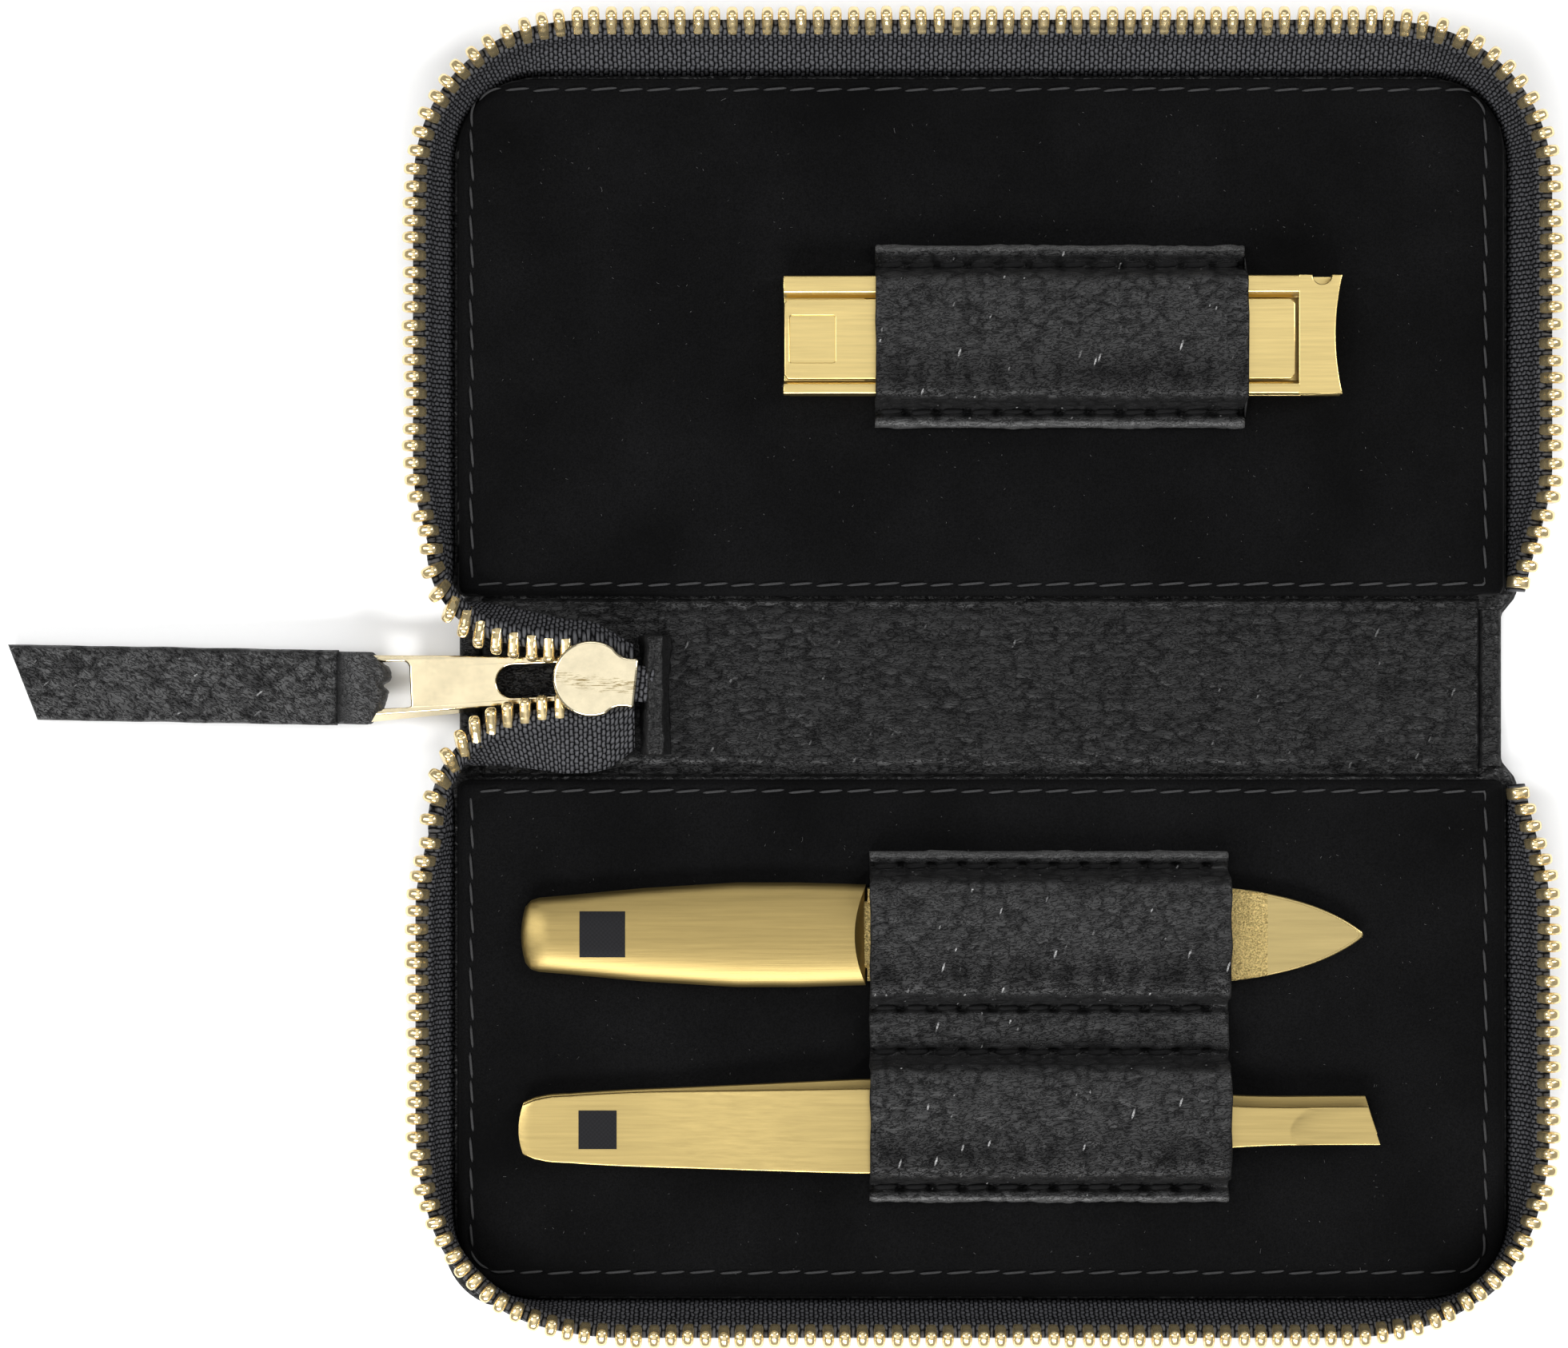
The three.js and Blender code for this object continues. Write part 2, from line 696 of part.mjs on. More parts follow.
function sliderBody() {
  const outline = sliderOutline();
  const lowerPlate = plate(outline, outerPlateZ, sliderPlate, sliderBevel);
  const upperPlate = plate(outline, innerPlateZ, sliderPlate, sliderBevel);
  const post = new THREE.CylinderGeometry(
    sliderPostRadius,
    sliderPostRadius,
    sliderChannel + sliderPlate,
    postSides,
  )
    .rotateX(Math.PI / half)
    .translate(sliderPostX, 0, chainZ);
  const parts = [lowerPlate, upperPlate, post];
  for (const side of [-1, 1]) {
    const outer = side * (sliderTailHalf - sliderBevel);
    const inner = outer - side * flangeThickness;
    const [y0, y1] = [Math.min(outer, inner), Math.max(outer, inner)];
    const x0 = sliderTailLength - sliderBevel - flangeLength;
    const x1 = sliderTailLength - sliderBevel;
    const sunk = sliderPlate / half;
    parts.push(box(x0, x1, y0, y1, channelZ - sunk, channelZ + flangeDepth));
    parts.push(box(x0, x1, y0, y1, innerPlateZ - flangeDepth, innerPlateZ + sunk));
  }
  const bailEnd = bailFrontX + bailLength;
  const bailTop = outerPlateZ + sliderPlate / half;
  const [y0, y1] = [-bailWidth / half, bailWidth / half];
  parts.push(box(bailFrontX, bailFrontX + bailFoot, y0, y1, bailZ, bailTop));
  parts.push(box(bailEnd - bailFoot, bailEnd, y0, y1, bailZ, bailTop));
  parts.push(box(bailFrontX, bailEnd, y0, y1, bailZ, bailZ + bailBar));
  const joined = parts.map(solid).reduce((a, b) => a.add(b));
  return besideSlider(geometryOf(joined));
}

// Sets a form made round the slider's head in its place, turned with the slider
function besideSlider(geometry) {
  return geometry.rotateZ(THREE.MathUtils.degToRad(sliderTurn)).translate(sliderHeadX, zipMiddle, 0);
}
piece("slider_body", sliderBody(), materials.brass);

// Closed end of the zip, which runs out of the slider into the keeper
const tailHalf = tailWidth / half;
const tailLow = chainZ - tailThickness / half;
const tailHigh = chainZ + tailThickness / half;
const tailLength = keeperX - keeperWidth / half + tailSeat - sliderHeadX;
piece(
  "zip_tail",
  besideSlider(box(tailStartX, tailLength, -tailHalf, tailHalf, tailLow, tailHigh)),
  materials.tape,
);

// Keeper: a folded leather tab sewn across the spine, with a pocket for the tail
function keeper() {
  const top = spineTop + keeperHeight;
  const shape = new THREE.Shape();
  const [foot, head] = [keeperFootWidth / half, keeperWidth / half];
  shape.moveTo(-foot, spineTop);
  shape.lineTo(foot, spineTop);
  shape.lineTo(foot, spineTop + hemThickness);
  shape.lineTo(head, spineTop + half * hemThickness);
  shape.lineTo(head, top - edgeRounding);
  shape.lineTo(head - edgeRounding, top);
  shape.lineTo(-head + edgeRounding, top);
  shape.lineTo(-head, top - edgeRounding);
  shape.lineTo(-head, spineTop + half * hemThickness);
  shape.lineTo(-foot, spineTop + hemThickness);
  const body = new THREE.ExtrudeGeometry(shape, { depth: keeperLength, bevelEnabled: false })
    .rotateX(Math.PI / half)
    .translate(keeperX, keeperMiddleY + keeperLength / half, 0);
  const pocket = box(
    tailLength - keeperFootWidth,
    tailLength + tailClearance,
    -tailHalf - tailClearance,
    tailHalf + tailClearance,
    tailLow - tailClearance,
    tailHigh + tailClearance,
  );
  return geometryOf(solid(body).subtract(solid(besideSlider(pocket))));
}
piece("zip_keeper", keeper(), materials.leather);

// Pull, seen with its pivot bar at the origin and its tip towards -X
const pivotX = sliderHeadX + bailFrontX + bailLength / half;
const pivotZ = (bailZ + bailBar + outerPlateZ) / half;
const pull = new THREE.Group();
pull.position.set(pivotX, zipMiddle, pivotZ);
pull.rotation.set(0, -THREE.MathUtils.degToRad(pullPitch), THREE.MathUtils.degToRad(pullYaw), "ZYX");
group.add(pull);

function roundedHole(x0, x1, width, radius) {
  const path = new THREE.Path();
  const halfWidth = width / half;
  path.moveTo(x0 + radius, -halfWidth);
  path.lineTo(x1 - radius, -halfWidth);
  path.quadraticCurveTo(x1, -halfWidth, x1, -halfWidth + radius);
  path.lineTo(x1, halfWidth - radius);
  path.quadraticCurveTo(x1, halfWidth, x1 - radius, halfWidth);
  path.lineTo(x0 + radius, halfWidth);
  path.quadraticCurveTo(x0, halfWidth, x0, halfWidth - radius);
  path.lineTo(x0, -halfWidth + radius);
  path.quadraticCurveTo(x0, -halfWidth, x0 + radius, -halfWidth);
  return path;
}

const pullRootX = pullEdge / half;
const pullTipX = pullRootX - pullLength;
function pullPlate() {
  const [root, tip] = [pullRootWidth / half, pullTipWidth / half];
  const shape = new THREE.Shape();
  shape.moveTo(pullTipX + pullCorner, -tip);
  shape.lineTo(pullRootX - pullCorner, -root);
  shape.quadraticCurveTo(pullRootX, -root, pullRootX, -root + pullCorner);
  shape.lineTo(pullRootX, root - pullCorner);
  shape.quadraticCurveTo(pullRootX, root, pullRootX - pullCorner, root);
  shape.lineTo(pullTipX + pullCorner, tip);
  shape.quadraticCurveTo(pullTipX, tip, pullTipX, tip - pullCorner);
  shape.lineTo(pullTipX, -tip + pullCorner);
  shape.quadraticCurveTo(pullTipX, -tip, pullTipX + pullCorner, -tip);
  const windowEnd = -pullEdge / half;
  const windowStart = windowEnd - pullWindowLength;
  shape.holes.push(roundedHole(windowStart, windowEnd, pullWindowWidth, pullWindowCorner));
  const slotStart = pullTipX + pullTipBar;
  shape.holes.push(roundedHole(slotStart, slotStart + pullSlotLength, pullSlotWidth, pullCorner));
  return plate(shape, -pullThickness / half, pullThickness, sliderBevel, pullCurveSteps);
}
piece("pull_tab", pullPlate(), materials.brass, pull);

// Strap: folded round the pull's tip bar and sewn to itself, with a slanted end
function strap() {
  const side = new THREE.Shape();
  const halfThick = strapThickness / half;
  side.moveTo(-strapShoulder, halfThick);
  side.lineTo(-strapLength, halfThick - strapDroop);
  side.lineTo(-strapLength, -halfThick - strapDroop);
  side.lineTo(-strapShoulder, -halfThick);
  const lie = THREE.MathUtils.degToRad(strapEyeLie);
  const [ex, ez] = [-strapEyeRadius * Math.cos(lie), strapEyeRadius * Math.sin(lie)];
  side.lineTo(ex, -ez);
  side.absarc(0, 0, strapEyeRadius, Math.PI + lie, half * Math.PI + Math.PI - lie, false);
  side.lineTo(-strapShoulder, halfThick);
  const hole = new THREE.Path();
  hole.absarc(0, 0, strapHoleRadius, 0, half * Math.PI, true);
  side.holes.push(hole);
  const settings = { depth: strapWidth, bevelEnabled: false, curveSegments: strapCurveSteps };
  const body = new THREE.ExtrudeGeometry(side, settings)
    .rotateX(Math.PI / half)
    .translate(0, strapWidth / half, 0);
  const plan = new THREE.Shape();
  const [neck, full] = [strapNeckWidth / half, strapWidth / half];
  plan.moveTo(strapEyeRadius + cutOverrun, -neck);
  plan.lineTo(strapEyeRadius + cutOverrun, neck);
  plan.lineTo(-strapEyeRadius, neck);
  plan.lineTo(-strapShoulder - strapEyeRadius, full - sideTrim);
  plan.lineTo(-strapLength + strapEndTrim, full - sideTrim);
  plan.lineTo(-strapLength + strapEndTrim + strapSkew, -full + sideTrim);
  plan.lineTo(-strapShoulder - strapEyeRadius, -full + sideTrim);
  plan.lineTo(-strapEyeRadius, -neck);
  const reach = strapEyeRadius + strapDroop + strapThickness;
  return geometryOf(solid(body).intersect(solid(plate(plan, -reach, half * reach))));
}
const strapMount = new THREE.Group();
strapMount.position.set(pullTipX + pullTipBar / half, 0, 0);
strapMount.rotation.set(0, THREE.MathUtils.degToRad(pullPitch), THREE.MathUtils.degToRad(strapYaw - pullYaw));
pull.add(strapMount);
piece("pull_strap", strap(), materials.leather, strapMount);

// Nail file: a leaf blade whose tang sits in a half-round handle
const restZ = liningTop + toolRest;

// Closes an outline with a bluntly rounded end at x0, from its high Y side to its low Y side
function bluntEnd(shape, x0, halfWidth, corner, bulge) {
  const x = x0 + bulge;
  shape.quadraticCurveTo(x, halfWidth, x, halfWidth - corner);
  shape.quadraticCurveTo(x0 - bulge, 0, x, -halfWidth + corner);
  shape.quadraticCurveTo(x, -halfWidth, x + corner, -halfWidth);
}

function handlePlan() {
  const shape = new THREE.Shape();
  const widths = [fileHandleFrontWidth, fileHandleEndWidth, fileHandleSwell];
  const [front, end, swell] = widths.map((width) => width / half);
  const start = fileLeftX + fileEndBulge + fileEndCorner;
  const tip = fileLeftX + fileHandleLength;
  const middle = fileLeftX + fileHandleLength * fileHandleSwellShare;
  shape.moveTo(start, -end);
  shape.quadraticCurveTo(middle, -swell, tip, -front);
  shape.quadraticCurveTo(tip - half * fileHandleHollow, 0, tip, front);
  shape.quadraticCurveTo(middle, swell, start, end);
  bluntEnd(shape, fileLeftX, end, fileEndCorner, fileEndBulge);
  return shape;
}

function fileHandle() {
  const plan = handlePlan();
  const section = new THREE.Shape();
  const w = fileHandleWidth / half + sideTrim;
  section.moveTo(-w, 0);
  section.lineTo(w, 0);
  section.lineTo(w, fileHandleSide);
  section.quadraticCurveTo(0, half * fileHandleHeight - fileHandleSide, -w, fileHandleSide);
  const drawn = fileHandleLength + half * cutOverrun;
  const round = drawnAlongX(section, fileLeftX - cutOverrun, drawn, toolCurveSteps);
  const pocket = box(
    fileLeftX + fileTangSetback - fileFit,
    fileLeftX + fileHandleLength + cutOverrun,
    -fileTangWidth / half - fileFit,
    fileTangWidth / half + fileFit,
    fileSheet - fileFit,
    fileSheet + fileBladeThickness + fileFit,
  );
  const block = solid(plate(plan, 0, fileHandleHeight, 0, toolCurveSteps));
  const made = block.intersect(solid(round)).subtract(solid(pocket));
  return geometryOf(made).translate(0, fileY, restZ);
}
piece("file_handle", fileHandle(), materials.gold);

function fileBlade() {
  const tang = fileTangWidth / half;
  const w = fileBladeWidth / half;
  const start = fileLeftX + fileTangSetback;
  const shoulder = fileLeftX + fileHandleLength + fileFit;
  const taper = fileLeftX + fileLength - fileTipLength;
  const tip = fileLeftX + fileLength;
  const turn = tip - fileTipLength * fileTipTurnShare;
  const shape = new THREE.Shape();
  shape.moveTo(start, -tang);
  shape.lineTo(shoulder, -tang);
  shape.lineTo(shoulder, -w);
  shape.lineTo(taper, -w);
  shape.quadraticCurveTo(turn, -w * fileTipFullShare, tip, -fileTipBlunt);
  shape.lineTo(tip, fileTipBlunt);
  shape.quadraticCurveTo(turn, w * fileTipFullShare, taper, w);
  shape.lineTo(shoulder, w);
  shape.lineTo(shoulder, tang);
  shape.lineTo(start, tang);
  return plate(shape, fileSheet, fileBladeThickness, sliderBevel).translate(0, fileY, restZ);
}
piece("file_blade", fileBlade(), materials.gold);

// Tweezers: two sprung arms that meet at the left end
function armPlan() {
  const shape = new THREE.Shape();
  const [w, e, n, t] = [armWidth, armEndWidth, armNeckWidth, armTipWidth].map((width) => width / half);
  const start = armEndBulge + armEndCorner;
  const waist = tweezersLength * armWaistShare;
  const neck = tweezersLength * armNeckShare;
  shape.moveTo(start, -e);
  shape.quadraticCurveTo(waist / half, -w, waist, -w);
  shape.quadraticCurveTo((waist + neck) / half, -w, neck, -n);
  shape.lineTo(tweezersLength, -t);
  shape.lineTo(tweezersLength - armTipSlant, t);
  shape.lineTo(neck, n);
  shape.quadraticCurveTo((waist + neck) / half, w, waist, w);
  shape.quadraticCurveTo(waist / half, w, start, e);
  bluntEnd(shape, 0, e, armEndCorner, armEndBulge);
  return shape;
}

// The side view of an arm, from the weld through the bow to the tip; side is 1 for the upper arm
function armSide(gaps) {
  const shape = new THREE.Shape();
  gaps.forEach(([x, gap], i) => (i ? shape.lineTo(x, gap) : shape.moveTo(x, gap)));
  [...gaps].reverse().forEach(([x, gap]) => shape.lineTo(x, gap + armThickness));
  return new THREE.ExtrudeGeometry(shape, { depth: half * armWidth, bevelEnabled: false })
    .rotateX(Math.PI / half)
    .translate(0, armWidth, 0);
}

function arm(gaps) {
  const reach = half * (armBow + armThickness);
  const cut = plate(armPlan(), -reach, half * reach, 0, toolCurveSteps);
  return geometryOf(solid(armSide(gaps)).intersect(solid(cut)));
}
const armLow = arm([
  [-cutOverrun, 0],
  [tweezersLength + cutOverrun, 0],
]);
piece("tweezers_lower_arm", armLow.translate(tweezersLeftX, tweezersY + armSkew, restZ), materials.gold);
const armHigh = arm([
  [-cutOverrun, 0],
  [armWeldLength, 0],
  [(armWeldLength + armBowX) / half, armBow * armRiseShare],
  [armBowX, armBow],
  [armBowX + armBowX, armBow],
  [tweezersLength + cutOverrun, armTipGap],
]);
piece(
  "tweezers_upper_arm",
  armHigh.translate(tweezersLeftX, tweezersY, restZ + armThickness),
  materials.gold,
);

// Nail clipper: a flat lower jaw, and an upper jaw that is a frame round the nested lever
function jawPlan(x0, x1) {
  const w = clipperWidth / half;
  const shape = new THREE.Shape();
  shape.moveTo(x0 + clipperCorner, -w);
  shape.lineTo(x1, -w);
  shape.quadraticCurveTo(x1 - half * clipperBladeSag, 0, x1, w);
  shape.lineTo(x0 + clipperCorner, w);
  shape.quadraticCurveTo(x0, w, x0, w - clipperCorner);
  shape.lineTo(x0, -w + clipperCorner);
  shape.quadraticCurveTo(x0, -w, x0 + clipperCorner, -w);
  return shape;
}

// The clipper's own frame starts at its rear end, on its middle line
const clipper = new THREE.Group();
clipper.position.set(clipperLeftX, clipperY, restZ);
group.add(clipper);
const pinX = clipperLength - pinFromTip;
const topZ = clipperSheet + clipperJawGap;

function upright(radius, x, z0, z1, sides) {
  return new THREE.CylinderGeometry(radius, radius, z1 - z0, sides)
    .rotateX(Math.PI / half)
    .translate(x, 0, (z0 + z1) / half);
}

function lowerJaw() {
  const w = clipperWidth / half;
  const sheet = solid(plate(jawPlan(0, clipperLength), 0, clipperSheet, 0, toolCurveSteps));
  const block = solid(plate(jawPlan(0, clipperLength), 0, clipperBite, 0, toolCurveSteps));
  const side = w + cutOverrun;
  const front = solid(
    box(clipperLength - clipperBiteLength, clipperLength + cutOverrun, -side, side, 0, topZ + w),
  );
  const pinHole = upright(pinRadius + pinFit, pinX, -cutOverrun, topZ + cutOverrun, pinSides);
  const rivetHole = upright(rivetRadius, rivetFromEnd, -cutOverrun, topZ, pinSides);
  return geometryOf(sheet.add(block.intersect(front)).subtract(solid(pinHole)).subtract(solid(rivetHole)));
}
piece("clipper_lower_jaw", lowerJaw(), materials.gold, clipper);

const rivetTop = topZ + clipperRailHeight - leverThickness - leverFit;
piece("clipper_rivet", upright(rivetRadius, rivetFromEnd, 0, rivetTop, pinSides), materials.gold, clipper);

// The upper jaw turns about the rivet and stands open by a small angle
const top = new THREE.Group();
top.position.set(rivetFromEnd, 0, topZ);
top.rotation.y = -THREE.MathUtils.degToRad(clipperOpening);
clipper.add(top);
const fromPivot = (geometry) => geometry.translate(-rivetFromEnd, 0, -topZ);
const windowEndX = clipperLength - clipperHeadLength;

function upperJaw() {
  const w = clipperWidth / half;
  const railTop = topZ + clipperRailHeight;
  const floorTop = rivetTop;
  const body = solid(plate(jawPlan(0, clipperLength), topZ, clipperRailHeight, sliderBevel, toolCurveSteps));
  const windowHalf = w - clipperRailWidth;
  const [low, high] = [-windowHalf - leverShift, windowHalf - leverShift];
  const above = solid(box(-cutOverrun, windowEndX, low, high, floorTop, railTop + cutOverrun));
  const through = solid(
    box(clipperFloorLength, windowEndX, low, high, topZ - cutOverrun, railTop + cutOverrun),
  );
  const relief = solid(
    box(
      clipperLength - clipperBiteLength - leverFit,
      clipperLength + cutOverrun,
      -w - cutOverrun,
      w + cutOverrun,
      topZ - cutOverrun,
      clipperBite + clipperJawGap,
    ),
  );
  const notch = new THREE.CylinderGeometry(
    clipperNotchRadius,
    clipperNotchRadius,
    half * railTop,
    pinSides,
  )
    .rotateX(Math.PI / half)
    .translate(clipperLength - clipperNotchFromTip, w, railTop);
  const rivetHole = upright(rivetRadius + rivetFit, rivetFromEnd, topZ - cutOverrun, railTop, pinSides);
  return geometryOf(
    body.subtract(above).subtract(through).subtract(relief).subtract(solid(notch)).subtract(solid(rivetHole)),
  );
}
piece("clipper_upper_jaw", fromPivot(upperJaw()), materials.gold, top);

const leverZ = rivetTop + leverFit;
function lever() {
  const wide = clipperWidth - half * (clipperRailWidth + leverFit);
  const shape = new THREE.Shape();
  const w = wide / half;
  const end = windowEndX - leverFit;
  shape.moveTo(clipperCorner, -w);
  shape.lineTo(end, -w);
  shape.lineTo(end, w);
  shape.lineTo(clipperCorner, w);
  shape.quadraticCurveTo(0, w, 0, w - clipperCorner);
  shape.lineTo(0, -w + clipperCorner);
  shape.quadraticCurveTo(0, -w, clipperCorner, -w);
  const badge = leverBadge / half;
  const recess = box(
    leverBadgeInset,
    leverBadgeInset + leverBadge,
    -badge,
    badge,
    leverZ + leverThickness - leverBadgeDepth,
    leverZ + leverThickness + cutOverrun,
  );
  const made = solid(plate(shape, leverZ, leverThickness, sliderBevel)).subtract(solid(recess));
  return geometryOf(made).translate(0, -leverShift, 0);
}
piece("clipper_lever", fromPivot(lever()), materials.gold, top);
piece("clipper_pin", fromPivot(upright(pinRadius, pinX, pinRecess, leverZ, pinSides)), materials.gold, top);

// Leather loops: a strip sewn down flat between and beside its tunnels
function tunnel(middle, width, height) {
  const reach = width / half + loopSideSlack;
  return { from: middle - reach, to: middle + reach, top: height };
}

// The line of a tunnel's wall, offset outwards for the leather's outer face
function tunnelLine({ from, to, top }, offset, base) {
  const y0 = from - offset;
  const y1 = to + offset;
  const z1 = top + offset;
  const wall = base + (top - liningTop) * loopWallShare;
  const inset = loopShoulder * loopWallShare;
  return [
    [y0, base],
    [y0, wall],
    [y0 + inset, z1 - inset],
    [y0 + half * inset, z1],
    [y1 - half * inset, z1],
    [y1 - inset, z1 - inset],
    [y1, wall],
    [y1, base],
  ];
}

function loop(x0, length, edges, tunnels) {
  const outerBase = liningTop + loopLeather;
  const shape = new THREE.Shape();
  shape.moveTo(edges[0], liningTop);
  for (const t of tunnels) {
    tunnelLine(t, 0, liningTop).forEach(([y, z]) => shape.lineTo(y, z));
  }
  shape.lineTo(edges[1], liningTop);
  shape.lineTo(edges[1], outerBase);
  for (const t of [...tunnels].reverse()) {
    tunnelLine(t, loopLeather, outerBase)
      .reverse()
      .forEach(([y, z]) => shape.lineTo(y, z));
  }
  shape.lineTo(edges[0], outerBase);
  return drawnAlongX(shape, x0, length);
}

const twinLoopLeft = fileLeftX + fileHandleLength + twinLoopFromHandle;
const clipperTop = restZ + leverZ + leverThickness;
const clipperReach = clipperLoopLeft + clipperLoopLength - clipperLeftX;
const clipperRise = clipperReach * Math.tan(THREE.MathUtils.degToRad(clipperOpening));
piece(
  "clipper_loop",
  loop(
    clipperLoopLeft,
    clipperLoopLength,
    [clipperY - clipperLoopWidth / half, clipperY + clipperLoopWidth / half],
    [tunnel(clipperY, clipperWidth, clipperTop + clipperRise + loopSlack)],
  ),
  materials.leather,
);
const armStack = restZ + armBow + half * armThickness;
piece(
  "twin_loop",
  loop(
    twinLoopLeft,
    twinLoopLength,
    [twinLoopNear - twinLoopWidth, twinLoopNear],
    [
      tunnel(tweezersY + armSkew / half, armWidth + armSkew, armStack + loopSlack),
      tunnel(fileY, fileHandleWidth, restZ + fileHandleHeight + loopSlack),
    ],
  ),
  materials.leather,
);

export default group;
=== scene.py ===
"""Looks of the manicure case: leather, velvet, woven zip tape, brass teeth and gold-plated tools, built round
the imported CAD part. Metres, in the part's own frame."""

import math

import bmesh
import bpy
import numpy as np
from mathutils import Matrix, Vector, noise


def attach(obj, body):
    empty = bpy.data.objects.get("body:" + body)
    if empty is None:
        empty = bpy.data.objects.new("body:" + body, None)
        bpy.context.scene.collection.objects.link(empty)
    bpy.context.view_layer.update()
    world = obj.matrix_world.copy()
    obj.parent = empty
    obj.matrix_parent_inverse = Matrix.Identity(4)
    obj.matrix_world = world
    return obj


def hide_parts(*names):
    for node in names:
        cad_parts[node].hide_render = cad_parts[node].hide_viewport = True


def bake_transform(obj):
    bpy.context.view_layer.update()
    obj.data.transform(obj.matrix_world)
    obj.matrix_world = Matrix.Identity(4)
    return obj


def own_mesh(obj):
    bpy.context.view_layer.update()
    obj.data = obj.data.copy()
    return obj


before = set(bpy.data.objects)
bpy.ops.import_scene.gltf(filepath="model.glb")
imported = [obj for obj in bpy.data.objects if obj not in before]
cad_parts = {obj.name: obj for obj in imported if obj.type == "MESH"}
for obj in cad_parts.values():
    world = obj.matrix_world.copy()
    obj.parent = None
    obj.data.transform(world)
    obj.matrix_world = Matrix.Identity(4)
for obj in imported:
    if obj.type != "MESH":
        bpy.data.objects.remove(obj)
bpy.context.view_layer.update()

# Floor, light and camera: a white sweep under soft studio light, seen from straight above as in the photo.
MM = 0.001


def tree_of(name):
    material = bpy.data.materials.new(name)
    material.use_nodes = True
    return material, material.node_tree, material.node_tree.nodes["Principled BSDF"]


def feed(socket, value):
    """Links another node's socket to this one, or sets its plain value."""
    if isinstance(value, bpy.types.NodeSocket):
        socket.id_data.links.new(value, socket)
    else:
        socket.default_value = value


def dress(shader, **values):
    for key, value in values.items():
        feed(shader.inputs[key.replace("_", " ")], value)


def add_node(tree, kind, *inputs, **values):
    """A shader node: its first inputs in their order, then settings and inputs by name."""
    made = tree.nodes.new("ShaderNode" + kind)
    for key, value in values.items():
        if hasattr(made, key):
            setattr(made, key, value)
        else:
            feed(made.inputs[key.replace("_", " ")], value)
    for socket, value in zip(made.inputs, inputs):
        feed(socket, value)
    return made


def output_of(tree, kind, *inputs, **values):
    """The first output of a new node."""
    return add_node(tree, kind, *inputs, **values).outputs[0]


def math_node(operation, *values):
    """A sum on numbers and sockets, of which one at least is a socket."""
    tree = next(value for value in values if isinstance(value, bpy.types.NodeSocket)).id_data
    return output_of(tree, "Math", *values, operation=operation)


def ramp_of(value, low, dark, high, bright):
    """Colour from a value: dark up to low, bright from high on."""
    made = add_node(value.id_data, "ValToRGB", value)
    for stop, position, colour in zip(made.color_ramp.elements, (low, high), (dark, bright)):
        stop.position = position
        stop.color = (*colour, 1)
    return made.outputs[0]


def bumped(shader, height, strength, distance):
    raised = add_node(shader.id_data, "Bump", Height=height, Strength=strength, Distance=distance)
    feed(shader.inputs["Normal"], raised.outputs[0])


def linked(name, data):
    """A new object that is in the scene."""
    made = bpy.data.objects.new(name, data)
    bpy.context.scene.collection.objects.link(made)
    return made


def area_light(name, place, target, size, watts):
    lamp = bpy.data.lights.new(name, "AREA")
    lamp.shape = "RECTANGLE"
    lamp.size, lamp.size_y = size
    lamp.energy = watts
    made = linked(name, lamp)
    made.location = place
    made.rotation_euler = (Vector(target) - Vector(place)).to_track_quat("-Z", "Y").to_euler()


bpy.ops.mesh.primitive_plane_add(size=6)
floor = bpy.context.object
floor.name = "floor"
floor_material, tree, shader = tree_of("floor_white")
dress(shader, Base_Color=(0.93, 0.93, 0.93, 1), Roughness=0.9, Specular_IOR_Level=0.1)
floor.data.materials.append(floor_material)

world = bpy.data.worlds.new("studio")
world.use_nodes = True
tree = world.node_tree
height = add_node(tree, "SeparateXYZ", add_node(tree, "TexCoord").outputs["Generated"]).outputs[2]
sky = add_node(tree, "ValToRGB", height)
sky.color_ramp.elements[0].color = (0.3, 0.3, 0.3, 1)
sky.color_ramp.elements[1].color = (1, 1, 1, 1)
for position, grey in ((0.72, 0.2), (0.9, 0.5), (0.965, 0.95)):
    sky.color_ramp.elements.new(position).color = (grey, grey, grey, 1)
dress(tree.nodes["Background"], Color=sky.outputs[0], Strength=1.15)
bpy.context.scene.world = world
area_light("softbox_left", (-0.36, 0.05, 0.4), (-0.01, 0, 0), (0.2, 0.36), 1.2)
area_light("softbox_right", (0.38, 0.16, 0.34), (0, 0, 0), (0.12, 0.3), 1.5)
area_light("softbox_front", (-0.06, -0.42, 0.36), (0, 0, 0), (0.4, 0.14), 3.0)
area_light("softbox_back", (-0.05, 0.42, 0.36), (0, 0, 0), (0.36, 0.1), 0.35)

camera_data = bpy.data.cameras.new("camera")
camera_data.sensor_width = 36
camera_data.lens = 104.6
camera = linked("camera", camera_data)
camera.location = (-21.5 * MM, 1.5 * MM, 0.5)
bpy.context.scene.camera = camera
bpy.context.scene.view_settings.view_transform = "Standard"

# Leather outside: one black pebbled sheet that wraps both halves and the spine. It is made as two pieces
# that meet under the middle of the spine.


def mesh_object(name, points, faces, material):
    mesh = bpy.data.meshes.new(name)
    mesh.from_pydata([tuple(p) for p in points], [], [tuple(f) for f in faces])
    mesh.update()
    mesh.polygons.foreach_set("use_smooth", [True] * len(mesh.polygons))
    made = linked(name, mesh)
    mesh.materials.append(material)
    return made


def grid_faces(rows, columns, around=False, start=0):
    faces = []
    for i in range(rows - 1):
        for j in range(columns if around else columns - 1):
            a = start + i * columns + j
            b = start + i * columns + (j + 1) % columns
            faces.append((a, b, b + columns, a + columns))
    return faces


def tube_faces(rows, columns, start=0):
    """The skin of a tube of rings, with one face over each end."""
    first, last = range(start, start + columns), range(start + (rows - 1) * columns, start + rows * columns)
    return grid_faces(rows, columns, True, start) + [tuple(first)[::-1], tuple(last)]


